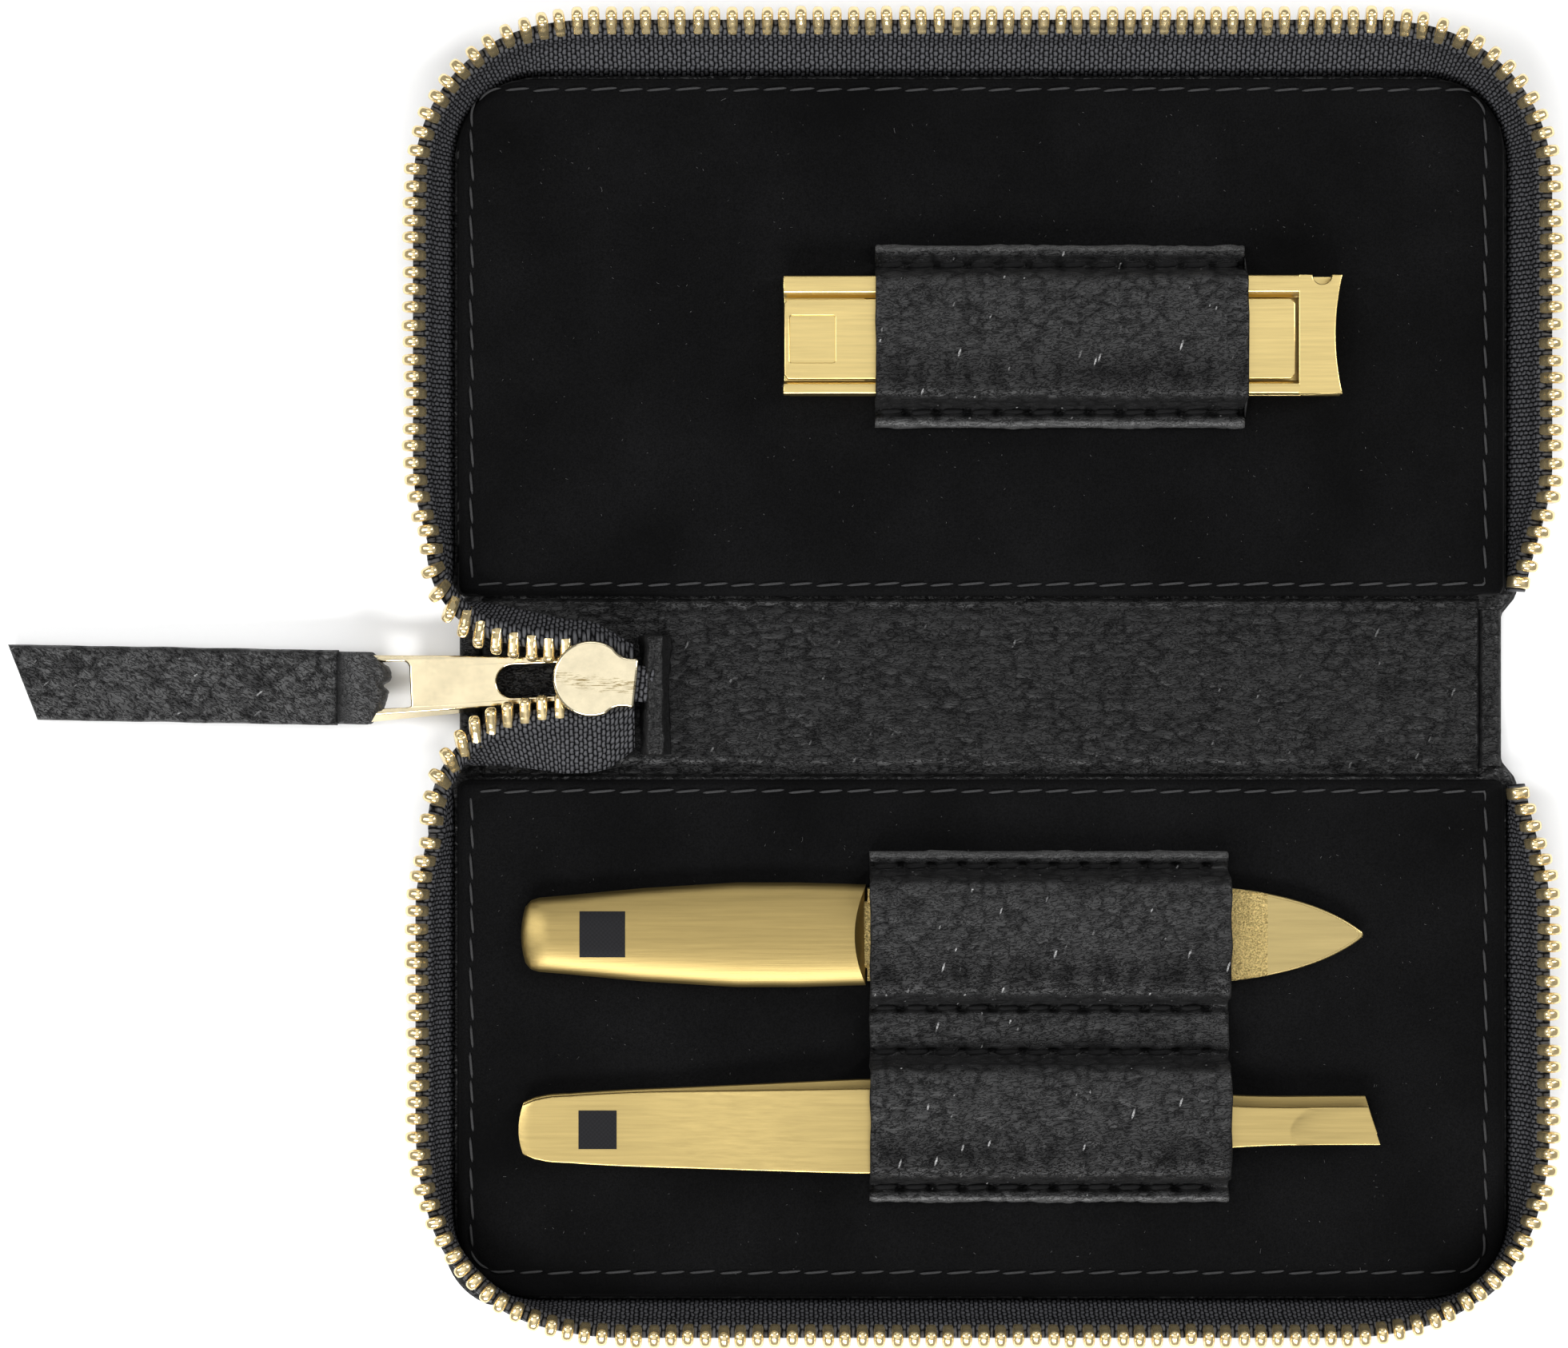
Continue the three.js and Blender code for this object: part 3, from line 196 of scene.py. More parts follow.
def tube_object(name, rings, material, uv=None):
    """Rings of points as a closed tube; uv gives each point's length and width along the piece."""
    rings = np.asarray(rings, float)
    rows, columns = rings.shape[:2]
    made = mesh_object(name, rings.reshape(-1, 3), tube_faces(rows, columns), material)
    fix_normals(made)
    if uv is not None:
        layer = made.data.uv_layers.new(name="weave")
        index = np.empty(len(made.data.loops), int)
        made.data.loops.foreach_get("vertex_index", index)
        layer.data.foreach_set("uv", np.asarray(uv, float).reshape(-1, 2)[index].ravel())
    return made


def slab_object(name, x, y, top, low, material):
    """A sheet over a rectangular grid of x and y, between its own top and underside."""
    ny, nx = x.shape
    n = ny * nx
    low = np.broadcast_to(low, x.shape)
    points = np.concatenate([np.stack([x, y, z], -1).reshape(-1, 3) for z in (top, low)])
    under = [tuple(reversed(f)) for f in grid_faces(ny, nx, start=n)]
    ring = [i * nx for i in range(ny)] + [(ny - 1) * nx + j for j in range(1, nx)]
    ring += [i * nx + nx - 1 for i in range(ny - 2, -1, -1)] + list(range(nx - 2, 0, -1))
    sides = [(a, b, b + n, a + n) for a, b in zip(ring, ring[1:] + ring[:1])]
    made = mesh_object(name, points, grid_faces(ny, nx) + under + sides, material)
    fix_normals(made)
    return made


def fix_normals(made):
    work = bmesh.new()
    work.from_mesh(made.data)
    bmesh.ops.recalc_face_normals(work, faces=work.faces)
    work.to_mesh(made.data)
    work.free()


def smooth_step(low, high, value):
    t = np.clip((np.asarray(value, float) - low) / (high - low), 0, 1)
    return t * t * (3 - 2 * t)


def dome(distance, radius):
    """A quarter circle: 0 at an edge, 1 from radius inwards."""
    return np.sqrt(np.clip(1 - (1 - np.clip(distance / radius, 0, 1)) ** 2, 0, 1))


def noise_over(x, y, scale, seed):
    """Gradient noise over a sheet's length and width in metres; scale is in lumps per millimetre."""
    k = scale / MM
    pairs = zip(np.ravel(x), np.ravel(y))
    made = [noise.noise(Vector((a * k + seed, b * k - seed, 3 * seed))) for a, b in pairs]
    return np.reshape(made, np.shape(x))


def ranged(value, low, high, out_low=0.0, out_high=1.0):
    """A value eased from one range into another."""
    limits = low, high, out_low, out_high
    return output_of(value.id_data, "MapRange", value, *limits, interpolation_type="SMOOTHSTEP")


def leather_material(
    name, tint=0.008, roughness=0.42, shine=0.5, lie=0.0, painted_glint_grey=0.0, grain=0.0, depth=0.000055
):
    """Black grained leather. Its pebbles are in the mesh, whose "hollow" value is 1 in the creases between
    them and -1 on a raw cut edge; the creases get painted shade, a darker colour. Here come the wrinkles that
    run one way and pores, also darkened as painted shade, and short bright slivers of colour in the creases
    as painted glints. Where the mesh has no pebbles, grain gives their number per metre."""
    material, tree, shader = tree_of(name)
    place = add_node(tree, "TexCoord").outputs["Object"]

    def laid(turn, stretch):
        return output_of(tree, "Mapping", place, vector_type="TEXTURE", Rotation=(0, 0, turn), Scale=stretch)

    def noise_of(vector, scale, rough=0.5, distortion=0.0):
        return add_node(
            tree, "TexNoise", vector, Scale=scale, Detail=2.0, Roughness=rough, Distortion=distortion
        )

    if grain:
        drift = noise_of(place, grain * 0.7).outputs["Color"]
        shaken = output_of(tree, "VectorMath", drift, (0.9 / grain,) * 3, place, operation="MULTIPLY_ADD")
        cells = add_node(tree, "TexVoronoi", shaken, feature="DISTANCE_TO_EDGE", Scale=grain)
        hollow = ranged(cells.outputs["Distance"], 0.0, 0.3, 0.4, 0.0)
    else:
        marked = add_node(tree, "Attribute", attribute_name="hollow").outputs["Fac"]
        hollow = math_node("MAXIMUM", marked, 0.0)
    bend = noise_of(laid(lie, (2.8, 1, 1)), 3500.0, distortion=0.8).outputs[0]
    wrinkle = ranged(math_node("ABSOLUTE", math_node("SUBTRACT", bend, 0.5)), 0.0, 0.065)
    pores = noise_of(place, 9500.0, 0.7).outputs[0]
    height = math_node("ADD", wrinkle, math_node("MULTIPLY", pores, 0.35))
    if grain:
        height = math_node("SUBTRACT", height, math_node("MULTIPLY", hollow, 11.0))
    bumped(shader, height, 0.8, depth)
    # Painted shade: the colour darkens in the creases (hollow), along the wrinkles and in the pores; the same
    # share lowers the specular level and raises the roughness.
    lit = math_node("SUBTRACT", 1.0, math_node("MULTIPLY", hollow, 0.62))
    lit = math_node("MULTIPLY", lit, math_node("ADD", math_node("MULTIPLY", wrinkle, 0.5), 0.5))
    lit = math_node("MULTIPLY", lit, ranged(pores, 0.3, 0.62, 0.8, 1.0))
    dark, bright = (tint * 0.15, tint * 0.15, tint * 0.16), (tint * 1.6, tint * 1.6, tint * 1.65)
    colour = ramp_of(lit, 0.15, dark, 0.95, bright)
    if not grain:
        raw = ranged(math_node("MULTIPLY", marked, -1.0), 0.25, 0.8)
        fluff = math_node("MULTIPLY", raw, ranged(pores, 0.35, 0.65, 0.3, 1.0))
        colour = output_of(tree, "MixRGB", fluff, colour, (0.075, 0.075, 0.075, 1))
    # Painted highlights: short bright slivers of colour in the creases stand in for glints.
    if painted_glint_grey:
        slivers = add_node(tree, "TexVoronoi", laid(lie + 1.15, (5, 1, 1)), Scale=900.0)
        wear_and_painted_light = ranged(slivers.outputs["Distance"], 0.06, 0.13, 1.0, 0.0)
        wear_and_painted_light = math_node("MULTIPLY", wear_and_painted_light, ranged(pores, 0.38, 0.55, 0.15, 1.0))
        wear_and_painted_light = math_node("MULTIPLY", wear_and_painted_light, ranged(hollow, 0.25, 0.5))
        colour = output_of(tree, "MixRGB", wear_and_painted_light, colour, (painted_glint_grey, painted_glint_grey, painted_glint_grey, 1))
    dress(
        shader, Base_Color=colour, Roughness=ranged(lit, 0.15, 1.0, roughness + 0.2, roughness),
        Specular_IOR_Level=ranged(lit, 0.1, 1.0, 0.03, shine),
    )
    return material


def pebbles(u, v, size, seed):
    """Leather pebbles over a sheet's own length and width: how domed it is at each point, and how deep in a
    crease between two pebbles the point lies."""
    a = (u + 0.32 * size[0] * noise_over(u, v, 0.45, seed)) / size[0]
    b = (v + 0.32 * size[1] * noise_over(u, v, 0.45, seed + 5)) / size[1]
    near = np.full(a.shape, 9.0)
    second = near.copy()
    for i in (-1, 0, 1):
        for j in (-1, 0, 1):
            row, column = np.floor(a) + i, np.floor(b) + j
            places = []
            for p, q, large in ((127.1, 311.7, 43758.5453), (269.5, 183.3, 24634.6345)):
                spread = np.sin(row * p + column * q + seed) * large
                places.append(0.04 + 0.92 * (spread - np.floor(spread)))
            far = np.hypot(a - row - places[0], b - column - places[1])
            second = np.minimum(second, np.maximum(near, far))
            near = np.minimum(near, far)
    gap = np.hypot(second - near, 0.16) - 0.16
    closed = 0.55 + 0.45 * smooth_step(-0.3, 0.2, noise_over(u, v, 0.3, seed + 9))
    sunk = 0.6 * np.clip(near / 0.75, 0, 1) ** 2 + 0.4 * (1 - np.clip(gap / 0.6, 0, 1)) ** 2
    return 1 - closed * sunk, closed * (1 - smooth_step(0.0, 0.3, gap))


# The "hollow" value marks where the leather's colour gets painted shade; -1 marks a raw edge's own lighter
# colour.
def mark_hollows(made, values):
    layer = made.data.attributes.new("hollow", "FLOAT", "POINT")
    layer.data.foreach_set("value", np.asarray(values, float).ravel())


COVER_LEATHER = leather_material("cover_leather", grain=560.0)


def cover_sheet(name, side):
    half_x, far, radius = 58.8 * MM, 68.1 * MM, (11 if side > 0 else 7.5) * MM
    waist, middle = 57.0 * MM, 0.6 * MM
    ny, nx = 110, 150
    ys = side * far * np.linspace(0, 1, ny) ** 0.85
    over = np.clip(np.abs(ys) - (far - radius), 0, radius)
    reach = half_x - radius + np.sqrt(np.maximum(radius**2 - over**2, 0))
    drawn_in = waist + (half_x - waist) * smooth_step(7.5 * MM, 10.5 * MM, np.abs(ys))
    reach = np.where(np.abs(ys) < 12 * MM, drawn_in, reach)
    even = np.linspace(-1, 1, nx)
    xs = np.sin(even * math.pi / 2) * 0.35 + even * 0.65
    rim = np.minimum((1 - np.abs(xs))[None, :] * reach[:, None], (far - np.abs(ys))[:, None])
    edge = middle * dome(rim, 0.6 * MM)
    x, y = reach[:, None] * xs[None, :], np.repeat(ys[:, None], nx, 1)
    return slab_object(name, x, y, middle + edge, middle - edge, COVER_LEATHER)


for side, half_name in ((1, "upper"), (-1, "lower")):
    sheet = cover_sheet(f"{half_name}_outer_leather", side)
    if side > 0:
        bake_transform(sheet)
    else:
        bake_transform(sheet)
    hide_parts(f"{half_name}_cover")

# Boards: grey-brown bookbinder's board between leather and lining, seen only at the edges.
board_material, tree, shader = tree_of("board_fibre")
fibre = output_of(tree, "TexNoise", Scale=2600.0, Detail=3.0)
fibre_colour = ramp_of(fibre, 0.0, (0.012, 0.011, 0.01), 1.0, (0.03, 0.027, 0.024))
dress(shader, Base_Color=fibre_colour, Roughness=0.95)
for node_name in ("upper_board", "lower_board"):
    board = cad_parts[node_name]
    board.data.materials.clear()
    board.data.materials.append(board_material)

# Linings: black velvet over thin foam, sewn down along a line about 2 mm inside its edge, with a little lint.
# The stitches are grey thread, 3.1 mm apart, and the row lies in a shallow groove.


def velvet_material():
    material, tree, shader = tree_of("black_velvet")
    place = add_node(tree, "TexCoord").outputs["Object"]
    pile = output_of(tree, "TexNoise", place, Scale=5200.0, Detail=2.0)
    brushed = output_of(tree, "TexNoise", place, Scale=70.0, Detail=3.0)
    nap = math_node("MULTIPLY", pile, brushed)
    bumped(shader, pile, 0.5, 0.0001)
    dress(
        shader, Base_Color=ramp_of(nap, 0.12, (0.0008, 0.0008, 0.0009), 0.5, (0.0052, 0.0052, 0.0056)),
        Roughness=0.95, Specular_IOR_Level=0.08, Sheen_Weight=0.05, Sheen_Roughness=0.4,
    )
    return material


def thread_material(name, colour, gloss=0.5):
    material, tree, shader = tree_of(name)
    strands = add_node(tree, "TexWave", Scale=1500.0, Distortion=2.0, Detail=2.0).outputs[1]
    bumped(shader, strands, 0.5, 0.00005)
    # Painted shade: the colour darkens in the grooves between the thread's strands.
    strands_painted_shade = ramp_of(strands, 0.0, [c * 0.45 for c in colour], 1.0, colour)
    dress(shader, Base_Color=strands_painted_shade, Roughness=0.7, Specular_IOR_Level=gloss)
    return material


VELVET = velvet_material()
LINING_THREAD = thread_material("lining_thread", (0.042, 0.042, 0.044))
LINT = thread_material("lint", (0.16, 0.16, 0.16))


def rounded_half(half_x, near, far, radius, steps):
    """Half outline of a panel, as points from the near left corner round to the near right one."""
    arc = np.linspace(0, math.pi / 2, steps)
    left = [(-half_x + radius * (1 - math.cos(a)), far - radius + radius * math.sin(a)) for a in arc]
    return [(-half_x, near)] + left + [(-x, y) for x, y in left[::-1]] + [(half_x, near)]


def border_distance(x, y, half_x, near, far, radius):
    """Distance inwards from the edge of a rounded rectangle."""
    low, high = min(near, far), max(near, far)
    px = np.abs(x) - (half_x - radius)
    py = np.abs(y - (low + high) / 2) - ((high - low) / 2 - radius)
    outside = np.hypot(np.maximum(px, 0), np.maximum(py, 0))
    inside = np.minimum(np.maximum(px, py), 0)
    return radius - outside - inside


def lengths_along(points):
    """The length from a path's first point to each of its points."""
    return np.concatenate([[0], np.cumsum(np.linalg.norm(np.diff(points, axis=0), axis=1))])


def capsule(t):
    """A short thread's radius as a share, for t from -1 at one end to 1 at the other."""
    return np.sqrt(np.clip(1.02 - np.abs(t) ** 5, 0.05, 1))


def stitch_row(path, pitch, length, radius):
    """Short thread capsules along a path: each dips into the cloth at both ends."""
    path = np.asarray(path, float)
    reach = lengths_along(path)
    count = max(1, int(reach[-1] / pitch))
    spare = (reach[-1] - count * pitch) / 2
    t = np.linspace(-1, 1, 7)
    threads = []
    for k in range(count):
        middle = spare + (k + 0.5) * pitch + 0.04 * pitch * math.sin(7.3 * k)
        at = middle + length * (1 + 0.08 * math.sin(3.7 * k)) * np.linspace(-0.5, 0.5, 7)
        line = np.stack([np.interp(at, reach, path[:, a]) for a in range(3)], -1)
        ahead = line[-1] - line[0]
        line[:, :2] += np.outer(t, (-ahead[1], ahead[0])) * 0.045 + 0.06 * MM * math.sin(1.9 * k)
        line[:, 2] += radius * (0.75 - 1.75 * t**4)
        threads.append((line, radius * capsule(t)))
    return threads


def threads_object(name, threads, material, sides=8):
    """Closed tubes round lines of points, each with its own radii."""
    points, faces = [], []
    turn = np.linspace(0, 2 * math.pi, sides, endpoint=False)
    for line, radii in threads:
        faces += tube_faces(len(line), sides, len(points))
        direction = line[-1] - line[0]
        direction /= np.linalg.norm(direction)
        across = np.cross(direction, (0, 0, 1))
        across /= np.linalg.norm(across)
        up = np.cross(across, direction)
        for centre, r in zip(line, radii):
            points += [centre + r * (math.cos(a) * across + math.sin(a) * up) for a in turn]
    return mesh_object(name, points, faces, material)


SEAM_SHIFT, SEAM_HALF, SEAM_NEAR, SEAM_RADIUS = -0.33 * MM, 55.22 * MM, 11.27 * MM, 3.2 * MM
SEAM_FAR = {1: 65.2 * MM, -1: 63.7 * MM}


def velvet_lining(side, half_name):
    half_x, near, far, radius = 57.2 * MM, side * 10 * MM, side * 66.5 * MM, 8 * MM
    nx, ny, base = 240, 126, 2.4 * MM
    near_radius = 1.2 * MM

    def spread(n):
        """Shares from 0 to 1 that lie closer together at both ends."""
        even = np.linspace(0, 1, n)
        return 0.5 - 0.15 * np.cos(np.pi * even) - 0.35 * (1 - 2 * even)

    ys = near + (far - near) * spread(ny)
    over = np.clip(np.abs(ys) - (abs(far) - radius), 0, radius)
    near_over = np.clip(abs(near) + near_radius - np.abs(ys), 0, near_radius)
    reach = half_x - radius + np.sqrt(np.maximum(radius**2 - over**2, 0))
    reach -= near_radius - np.sqrt(np.maximum(near_radius**2 - near_over**2, 0))
    xs = 2 * spread(nx) - 1
    x, y = reach[:, None] * xs[None, :], np.repeat(ys[:, None], nx, 1)
    d = np.minimum((1 - np.abs(xs))[None, :] * reach[:, None], np.minimum(np.abs(y - near), np.abs(far - y)))
    corner = border_distance(x, y, half_x, near, far, radius)
    d = np.where(np.abs(y) > abs(far) - radius, np.minimum(d, np.maximum(corner, 0)), d)
    edge = dome(d, 0.9 * MM)
    sewn = border_distance(x - SEAM_SHIFT, y, SEAM_HALF, side * SEAM_NEAR, side * SEAM_FAR[side], SEAM_RADIUS)
    groove = np.exp(-((sewn / (0.42 * MM)) ** 2))
    puff = smooth_step(0, 9 * MM, d)
    wave = noise_over(x, y, 0.05, 3.1 * side) + 0.5 * noise_over(x, y, 0.16, 1.7)
    top = base + (1.3 * edge + 0.07 * puff - 0.2 * groove + 0.035 * wave * edge) * MM
    made = slab_object(f"{half_name}_velvet", x, y, top, base, VELVET)
    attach(made, f"{half_name}_half")
    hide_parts(f"{half_name}_lining")


def lining_stitches(side, half_name):
    outline = rounded_half(SEAM_HALF, SEAM_NEAR, SEAM_FAR[side], SEAM_RADIUS, 16) + [(-SEAM_HALF, SEAM_NEAR)]
    outline = [(x + SEAM_SHIFT, side * y) for x, y in outline]
    level = 3.62 * MM
    path = []
    for (x0, y0), (x1, y1) in zip(outline, outline[1:]):
        steps = max(2, int(math.hypot(x1 - x0, y1 - y0) / (2 * MM)))
        path += [(x0 + (x1 - x0) * t, y0 + (y1 - y0) * t, level) for t in np.linspace(0, 1, steps)[:-1]]
    path.append((*outline[-1], level))
    row = stitch_row(path, 3.1 * MM, 2.75 * MM, 0.14 * MM)
    thread = threads_object(f"{half_name}_lining_stitches", row, LINING_THREAD)
    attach(thread, f"{half_name}_half")


def lining_lint(side, half_name):
    random = np.random.default_rng(11 + side)
    hairs = []
    for _ in range(420):
        cx = random.uniform(-54, 54) * MM
        cy = side * random.uniform(13, 64) * MM
        turn, bend = random.uniform(0, math.pi), random.uniform(-1.4, 1.4)
        length = random.uniform(0.05, 0.34) * MM * (2.2 if random.uniform() < 0.05 else 1)
        angle = turn + bend * np.linspace(-0.5, 0.5, 5)
        walk = np.cumsum(length * np.stack([np.cos(angle), np.sin(angle)], -1) / 5, axis=0)
        line = np.stack([cx + walk[:, 0], cy + walk[:, 1], np.full(5, 3.83 * MM)], -1)
        hairs.append((line, np.full(5, random.uniform(0.009, 0.02) * MM)))
    lint = threads_object(f"{half_name}_lint", hairs, LINT, sides=4)
    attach(lint, f"{half_name}_half")


for side, half_name in ((1, "upper"), (-1, "lower")):
    velvet_lining(side, half_name)
    lining_stitches(side, half_name)
    lining_lint(side, half_name)

# Spine inside: a strip of the same leather, creased along its length, between turned hems at both ends.
SPINE_LEATHER = leather_material(
    "spine_leather", tint=0.006, roughness=0.4, shine=0.32, painted_glint_grey=0.15, depth=0.00008
)


def spine_strip():
    half_x, half_y, low, fold_line = 54.6 * MM, 9.75 * MM, 1.21 * MM, 8.75 * MM
    x, y = np.meshgrid(np.linspace(-half_x, half_x, 470), np.linspace(-half_y, half_y, 88))
    long_creases = noise_over(x, y * 2.6, 0.09, 5.2)
    domed, hollow = pebbles(x, y, (2.7 * MM, 1.2 * MM), 2.0)
    fold = np.exp(-(((np.abs(y) - fold_line) / (0.7 * MM)) ** 2))
    rise = 2.05 * MM + 0.09 * MM * long_creases + 0.24 * MM * (domed - 0.65) - 0.3 * MM * fold
    edge = dome(half_x - np.abs(x), 0.5 * MM) * dome(half_y - np.abs(y), 0.5 * MM)
    strip = slab_object("spine_inner_leather", x, y, low + (rise - low) * edge, low, SPINE_LEATHER)
    # Painted shade in the creases between the pebbles.
    mark_hollows(strip, [0.7 * hollow, np.zeros_like(hollow)])
    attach(strip, "spine")
    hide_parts("spine_lining")


spine_strip()


def spine_hems():
    x0, x1, half_y = 54.55 * MM, 57.0 * MM, 8.55 * MM
    for side, label in ((-1, "left"), (1, "right")):
        x, y = np.meshgrid(np.linspace(x0, x1, 16), np.linspace(-half_y, half_y, 90))
        lump = noise_over(x, y, 0.3, 2.0 + side)
        domed, hollow = pebbles(x, y, (1.6 * MM, 1.5 * MM), 6.0 + side)
        edge = dome(np.minimum(x - x0, x1 - x), 1.0 * MM) ** 0.8
        top = 1.25 * MM + (0.96 * MM + 0.08 * MM * lump + 0.1 * MM * (domed - 0.6)) * edge
        hem = slab_object(f"spine_hem_{label}", side * x, y, top, 1.2 * MM, SPINE_LEATHER)
        # Painted shade in the creases between the pebbles.
        mark_hollows(hem, [0.6 * hollow, np.zeros_like(hollow)])
        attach(hem, "spine")
        if side < 0:
            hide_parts("spine_cover")


spine_hems()

# Keeper: a folded leather tab sewn across the spine over the zip's closed end.


def rounded_section(half_a, half_b, power, count):
    """A superellipse as count points."""
    t = np.linspace(0, 2 * math.pi, count, endpoint=False)
    ends = ((half_a, np.cos(t)), (half_b, np.sin(t)))
    return np.stack([half * np.sign(c) * np.abs(c) ** (2 / power) for half, c in ends], -1)


def keeper():
    """Its section, in mm as (x, z), is drawn in at both ends and crumpled with noise."""
    place_x, y0, y1, base = -35.6 * MM, -7.3 * MM, 5.7 * MM, 2.25 * MM
    ends = np.array([0, 0.05, 0.2, 0.5]) * MM
    ys = np.concatenate([y0 + ends, np.linspace(y0 + 0.9 * MM, y1 - 0.9 * MM, 80), y1 - ends[::-1]])
    profile = [(-1.75, 2.3), (-1.6, 2.9), (-1.25, 3.5), (-1.12, 4.6), (-1.1, 6.0), (-1.0, 7.1), (-0.7, 7.75)]
    profile += [(-0.35, 7.92), (-0.05, 7.8), (0.25, 7.62), (0.55, 7.78), (0.85, 7.9), (1.05, 7.5), (1.1, 6.0)]
    profile += [(1.1, 4.6), (1.22, 3.5), (1.6, 2.9), (1.75, 2.3), (0.8, 2.3), (0, 2.3), (-0.8, 2.3)]
    profile = np.array(profile) * MM
    middle = np.array([0.0, 5.0 * MM])
    rings = []
    for y in ys:
        shrink = 0.86 + 0.14 * dome(min(y - y0, y1 - y), 0.55 * MM)
        ring = []
        for x, z in middle + (profile - middle) * shrink:
            lump = sum(
                size * MM * noise.noise(Vector((x * scale, y * scale * 0.8, z * scale * 0.6)) / MM)
                for scale, size in ((0.4, 0.34), (1.0, 0.2), (2.2, 0.09))
            )
            ring.append((place_x + x + lump, y, max(z + 0.8 * lump, base)))
        rings.append(ring)
    made = tube_object("zip_keeper_leather", rings, SPINE_LEATHER)
    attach(made, "spine")
    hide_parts("zip_keeper")
    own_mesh(made)


keeper()

# Zip: woven charcoal tape that stands up round three sides of each half, a corded edge, and a row of brass
# teeth clamped on the cord. The same lines as the solids': foot, corded edge and tooth direction.
FOOT_HALF, FOOT_FAR, FOOT_RADIUS, FOOT_Z = 57.8 * MM, 67.1 * MM, 9.6 * MM, 1.55 * MM
TAPE_WIDTH, TOOTH_SET, TOOTH_LENGTH, PITCH = 4.8 * MM, 0.3 * MM, 3.4 * MM, 1.87 * MM


def three_sided(t, half_length, far, radius, start, end):
    """A point on a rounded U: t runs from 0 to 5 over side, corner, far side, corner and side."""
    leg = min(int(t), 4)
    part = t - leg
    inner = half_length - radius
    turn = part * math.pi / 2
    if leg == 0:
        return -half_length, start + (far - radius - start) * part
    if leg == 1:
        return -inner - radius * math.cos(turn), far - radius + radius * math.sin(turn)
    if leg == 2:
        return inner * (2 * part - 1), far
    if leg == 3:
        return inner + radius * math.sin(turn), far - radius + radius * math.cos(turn)
    return half_length, far - radius + (end - far + radius) * part


def seam_beside(x, y):
    """The nearest point of the seam, a rounded rectangle round the panel."""
    inner = FOOT_HALF - FOOT_RADIUS
    core_x = math.copysign(min(abs(x), inner), x)
    core_y = min(y, FOOT_FAR - FOOT_RADIUS)
    reach = math.hypot(x - core_x, y - core_y) / FOOT_RADIUS
    return core_x + (x - core_x) / reach, core_y + (y - core_y) / reach


def standing_station(t, side, side_lean, far_lean):
    """Foot, corded edge and tooth direction. The zip leans out, and less so beside the spine."""
    corner = (20 if side > 0 else 23) * MM
    left_start, right_end = 16 * MM, 10.5 * MM
    half_length, far = FOOT_HALF + side_lean, FOOT_FAR + far_lean
    wide_x, tip_y = three_sided(t, half_length, far, corner, left_start, right_end)
    lean = float(smooth_step(7 * MM, 24 * MM, tip_y))
    tip_x = wide_x - math.copysign(side_lean * (1 - lean), wide_x)
    foot_x, foot_y = seam_beside(tip_x, tip_y)
    width = TAPE_WIDTH * (0.5 + 0.5 * lean)
    slant = width + TOOTH_SET + TOOTH_LENGTH
    across = math.hypot(tip_x - foot_x, tip_y - foot_y)
    foot = np.array((foot_x, side * foot_y, FOOT_Z))
    up = np.array((tip_x, side * tip_y, FOOT_Z + math.sqrt(slant**2 - across**2))) - foot
    up /= np.linalg.norm(up)
    return foot, foot + up * width, up


def smooth_curve(points):
    """Centripetal Catmull-Rom curve through points; returns a function of 0 to 1."""
    points = [np.asarray(p, float) for p in points]

    def at(t):
        place = (len(points) - 1) * t
        i = min(int(place), len(points) - 2)
        w = place - i
        p1, p2 = points[i], points[i + 1]
        p0 = points[i - 1] if i > 0 else 2 * p1 - p2
        p3 = points[i + 2] if i + 2 < len(points) else 2 * p2 - p1
        d0, d1, d2 = (np.sum((b - a) ** 2) ** 0.25 for a, b in ((p0, p1), (p1, p2), (p2, p3)))
        d1 = d1 if d1 > 1e-4 else 1.0
        d0 = d0 if d0 > 1e-4 else d1
        d2 = d2 if d2 > 1e-4 else d1
        m1 = ((p1 - p0) / d0 - (p2 - p0) / (d0 + d1) + (p2 - p1) / d1) * d1
        m2 = ((p2 - p1) / d1 - (p3 - p1) / (d1 + d2) + (p3 - p2) / d2) * d1
        return p1 + m1 * w + (3 * (p2 - p1) - 2 * m1 - m2) * w**2 + (2 * (p1 - p2) + m1 + m2) * w**3

    return at


CHAIN_Z, ZIP_Y, SLIDER_X, MOUTH_X, MOUTH_HALF = 7.1 * MM, 1.0 * MM, -42.3 * MM, -45.0 * MM, 5.2 * MM
KEEPER_FACE_X = -37.7 * MM
SLIDER_PLACE = Matrix.Translation((SLIDER_X, ZIP_Y, 0)) @ Matrix.Rotation(math.radians(-6), 4, "Z")


def bend_station(start, side, hang_share, waist):
    """The bend on the left: from the standing zip's end it tips over and runs flat into the slider. Each row
    is a point's share of the way in x and y for the edge and for the foot, and how far it has tipped over."""
    foot0, edge0, up0 = start
    mouth = np.array((MOUTH_X, ZIP_Y + side * MOUTH_HALF, CHAIN_Z))
    fall = np.array((0, side, -hang_share))
    fall *= TAPE_WIDTH / np.linalg.norm(fall)
    flat = np.array((0.0, -side, 0.0))
    feet, edges, ups = [foot0], [edge0], [up0]
    for edge_x, edge_y, foot_x, foot_y, tipped in (
        (0, 0.18, 0, 0.45, 0.15), (0.08, 0.5, 0, 0.95, 0.42), (0.3, 0.8, 0.3, 1, 0.72),
        (0.62, 0.94, 0.64, 1, 0.95), (1, 1, 1, 1, 1),
    ):
        edges.append(edge0 + (mouth - edge0) * (edge_x, edge_y, tipped))
        feet.append(foot0 + (mouth + fall - foot0) * (foot_x, foot_y, tipped))
        up = up0 + (flat - up0) * tipped
        ups.append(up / np.linalg.norm(up))
    for x, offset in ((SLIDER_X, MOUTH_HALF), (KEEPER_FACE_X, waist)):
        edge = np.array((x, ZIP_Y + side * offset, CHAIN_Z))
        edges.append(edge)
        feet.append(edge + fall)
        ups.append(flat)
    curves = [smooth_curve(points) for points in (feet, edges, ups)]

    def station(t):
        foot, edge, up = (curve(t) for curve in curves)
        return foot, edge, up / np.linalg.norm(up)

    return station


